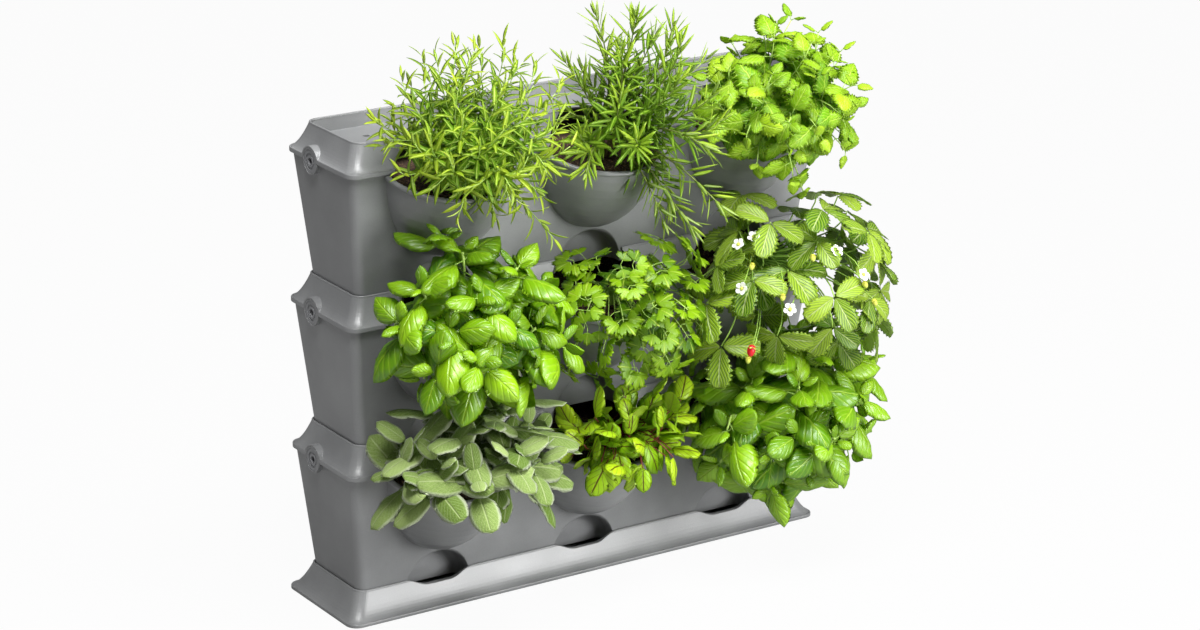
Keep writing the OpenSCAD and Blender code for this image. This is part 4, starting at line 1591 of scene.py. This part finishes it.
@dataclass
class PottingSoil:
    """One module's soil: the CAD's fill, topped with crumbs in its three pockets.

    A lump is its height as a share of crumb_mm, its size in mm, and the step that sets its noise apart.
    """

    row: int
    mix: PottingMix = PottingMix()
    pocket_y_mm: float = -67.0
    mouth_height_mm: float = 154.0
    tilt_deg: float = 15.0
    drop_mm: float = 8.0
    level_mm: float = 138.0
    reach_mm: float = 69.5
    depth_mm: float = 4.0
    crumb_mm: float = 3.2
    lumps: tuple[tuple[float, float, int], ...] = ((0.6, 11.0, 0), (0.5, 4.2, 9), (0.35, 1.9, 20))
    lift_mm: float = 0.8
    lump_middle: float = 0.25
    edge_mm: float = 5.0
    edge_drop_mm: float = 2.0
    rings: int = 30
    spokes: int = 96

    def height(self, x: float, y: float) -> float:
        """Gives the height of the crumbs at a place in a pocket, in mm from the tub's foot.

        Args:
            x: the place across, in mm.
            y: the place in depth, in mm.

        Returns:
            The height.
        """
        slope = self.mouth_height_mm + (y - self.pocket_y_mm) * math.tan(math.radians(self.tilt_deg))
        flat = min(self.level_mm, slope - self.drop_mm / math.cos(math.radians(self.tilt_deg)))
        lumps = sum(share * noise_at(x / size, y / size, self.row + step) for share, size, step in self.lumps)
        return flat + self.lift_mm + self.crumb_mm * (lumps + self.lump_middle)

    def crumbs(self, column: int) -> tuple[list[tuple[float, float, float]], list[tuple[int, ...]]]:
        """Builds the crumbs of one pocket as a thin closed cake.

        Args:
            column: the pocket, from -1 to 1.

        Returns:
            Its points, in mm from the tub's foot, and its faces.
        """
        rim = math.cos(math.radians(self.tilt_deg))
        middle = column * POCKET_PITCH_MM
        top, bottom = [], []
        for ring in range(1, self.rings + 1):
            for spoke in range(self.spokes):
                angle = 2 * math.pi * (spoke + 0.5 * (ring % 2)) / self.spokes
                r = self.reach_mm * (ring / self.rings)
                x, y = r * math.cos(angle), self.pocket_y_mm + r * math.sin(angle) * rim
                z = self.height(x + middle, y)
                edge = min(1.0, (self.reach_mm - r) / self.edge_mm)
                top.append((x + middle, y, z - (1 - edge) * self.edge_drop_mm))
                bottom.append((x + middle, y, z - self.depth_mm - self.edge_drop_mm))
        count, n = len(top), self.spokes
        height = self.height(middle, self.pocket_y_mm)
        points = top + bottom + [(middle, self.pocket_y_mm, height),
                                 (middle, self.pocket_y_mm, height - self.depth_mm - self.edge_drop_mm)]
        faces = []
        for ring in range(self.rings - 1):
            for k in range(n):
                a, b = ring * n + k, ring * n + (k + 1) % n
                faces.append((a, a + n, b + n, b))
                faces.append((count + b, count + b + n, count + a + n, count + a))
        for k in range(n):
            a, b = k, (k + 1) % n
            faces.append((2 * count, a, b))
            faces.append((2 * count + 1, count + b, count + a))
            c, d = (self.rings - 1) * n + a, (self.rings - 1) * n + b
            faces.append((c, count + c, count + d, d))
        return points, faces

    def build(self) -> None:
        """Makes the soil, which stands for its CAD solid."""
        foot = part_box(f"tub_{self.row}")[0].z
        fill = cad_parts[f"soil_{self.row}"].data
        points = [tuple(v.co) for v in fill.vertices]
        faces = [tuple(p.vertices) for p in fill.polygons]
        for column in COLUMNS:
            cake, cake_faces = self.crumbs(column)
            start = len(points)
            points.extend((x * MM, y * MM, z * MM + foot) for x, y, z in cake)
            faces.extend(tuple(i + start for i in face) for face in cake_faces)
        mesh = bpy.data.meshes.new(f"potting_soil_{self.row}")
        mesh.from_pydata(points, [], faces)
        mesh.materials.append(self.mix.material())
        mesh.update()
        piece = add_object(mesh.name, mesh)
        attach(piece, f"module_{self.row}")
        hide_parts(f"soil_{self.row}")
        LOG.info("%s: %d faces", piece.name, len(faces))


def noise_at(x: float, y: float, z: float) -> float:
    """Gives smooth noise from -1 to 1 at a place."""
    return noise.noise(Vector((x, y, z * 3.7)))


# Studio


@dataclass(frozen=True)
class Softbox:
    """A large square soft lamp that faces the planter: its place, its side, its power and its aim."""

    name: str
    place: tuple[float, float, float]
    side: float
    watts: float
    aim: tuple[float, float, float] = (0.0, -0.05, 0.3)

    def hang(self) -> None:
        """Hangs the lamp."""
        data = bpy.data.lights.new(self.name, "AREA")
        data.shape, data.size, data.energy = "SQUARE", self.side, self.watts
        lamp = add_object(self.name, data)
        lamp.location = self.place
        lamp.rotation_euler = (Vector(self.aim) - Vector(self.place)).to_track_quat("-Z", "Y").to_euler()


@dataclass
class Studio:
    """White sweep, soft lamps and the camera at the photograph's view."""

    paper: StudioSweep = StudioSweep()
    half_floor: float = 12.0
    lamps: tuple[Softbox, ...] = (Softbox("left_softbox", (-0.9, -1.0, 2.6), 0.9, 62),
                                  Softbox("top_softbox", (0.3, -1.0, 2.6), 0.9, 58),
                                  Softbox("front_fill", (1.0, -2.1, 0.8), 1.2, 58))
    lens_mm: float = 107.943
    place: tuple[float, float, float] = (-2.1823, -3.2822, 1.6535)
    azimuth_deg: float = -34.27
    elevation_deg: float = 19.02
    roll_deg: float = 1.04
    sky: str = "#ffffff"
    sky_strength: float = 0.13

    def camera(self) -> None:
        """Sets up the camera."""
        azimuth, elevation = math.radians(self.azimuth_deg), math.radians(self.elevation_deg)
        roll = math.radians(self.roll_deg)
        back = Vector((math.sin(azimuth) * math.cos(elevation), -math.cos(azimuth) * math.cos(elevation),
                       math.sin(elevation)))
        right = Vector((math.cos(azimuth), math.sin(azimuth), 0))
        up = back.cross(right)
        across = right * math.cos(roll) + up * math.sin(roll)
        upright = up * math.cos(roll) - right * math.sin(roll)
        data = bpy.data.cameras.new("camera")
        data.lens, data.sensor_width, data.sensor_fit = self.lens_mm, 36.0, "HORIZONTAL"
        data.clip_end = 100
        camera = add_object("camera", data)
        frame_of = Matrix((across, upright, back)).transposed().to_4x4()
        camera.matrix_world = Matrix.Translation(self.place) @ frame_of
        bpy.context.scene.camera = camera
        LOG.info("camera: %.1f mm", self.lens_mm)

    def sweep(self) -> None:
        """Lays the floor."""
        low, far = CAD_BOX[0].z, self.half_floor
        mesh = bpy.data.meshes.new("floor_sweep")
        mesh.from_pydata([(-far, -far, low), (far, -far, low), (far, far, low), (-far, far, low)], [],
                         [(0, 1, 2, 3)])
        mesh.materials.append(self.paper.material())
        floor = add_object("floor_sweep", mesh)
        LOG.info("floor_sweep at %.4f m", low)

    def world(self) -> None:
        """Lights the room evenly, white to the camera and to transmission rays."""
        world = bpy.data.worlds.new("studio")
        world.use_nodes = True
        tree = world.node_tree
        tree.nodes.clear()
        path = add_node(tree, "LightPath")
        seen = add_node(tree, "Math", {0: path.outputs["Is Camera Ray"],
                                       1: path.outputs["Is Transmission Ray"]}, operation="MAXIMUM")
        room = add_node(tree, "Background", {"Color": linear(self.sky), "Strength": self.sky_strength})
        white = add_node(tree, "Background", {"Color": WHITE, "Strength": 1.0})
        both = add_node(tree, "MixShader", {0: seen.outputs[0], 1: room.outputs[0], 2: white.outputs[0]})
        add_node(tree, "OutputWorld", {"Surface": both.outputs[0]})
        bpy.context.scene.world = world

    def build(self) -> None:
        """Sets up the whole studio."""
        self.camera()
        self.sweep()
        for lamp in self.lamps:
            lamp.hang()
        self.world()
        bpy.context.scene.view_settings.view_transform = "Standard"


def main() -> None:
    """Builds the scene."""
    Studio().build()
    Planter().dress()
    for row in ROWS:
        PottingSoil(row).build()
    for herb in herbs():
        herb.build()


if __name__ == "__main__":
    logging.basicConfig(level=logging.INFO, format="%(message)s")
    main()
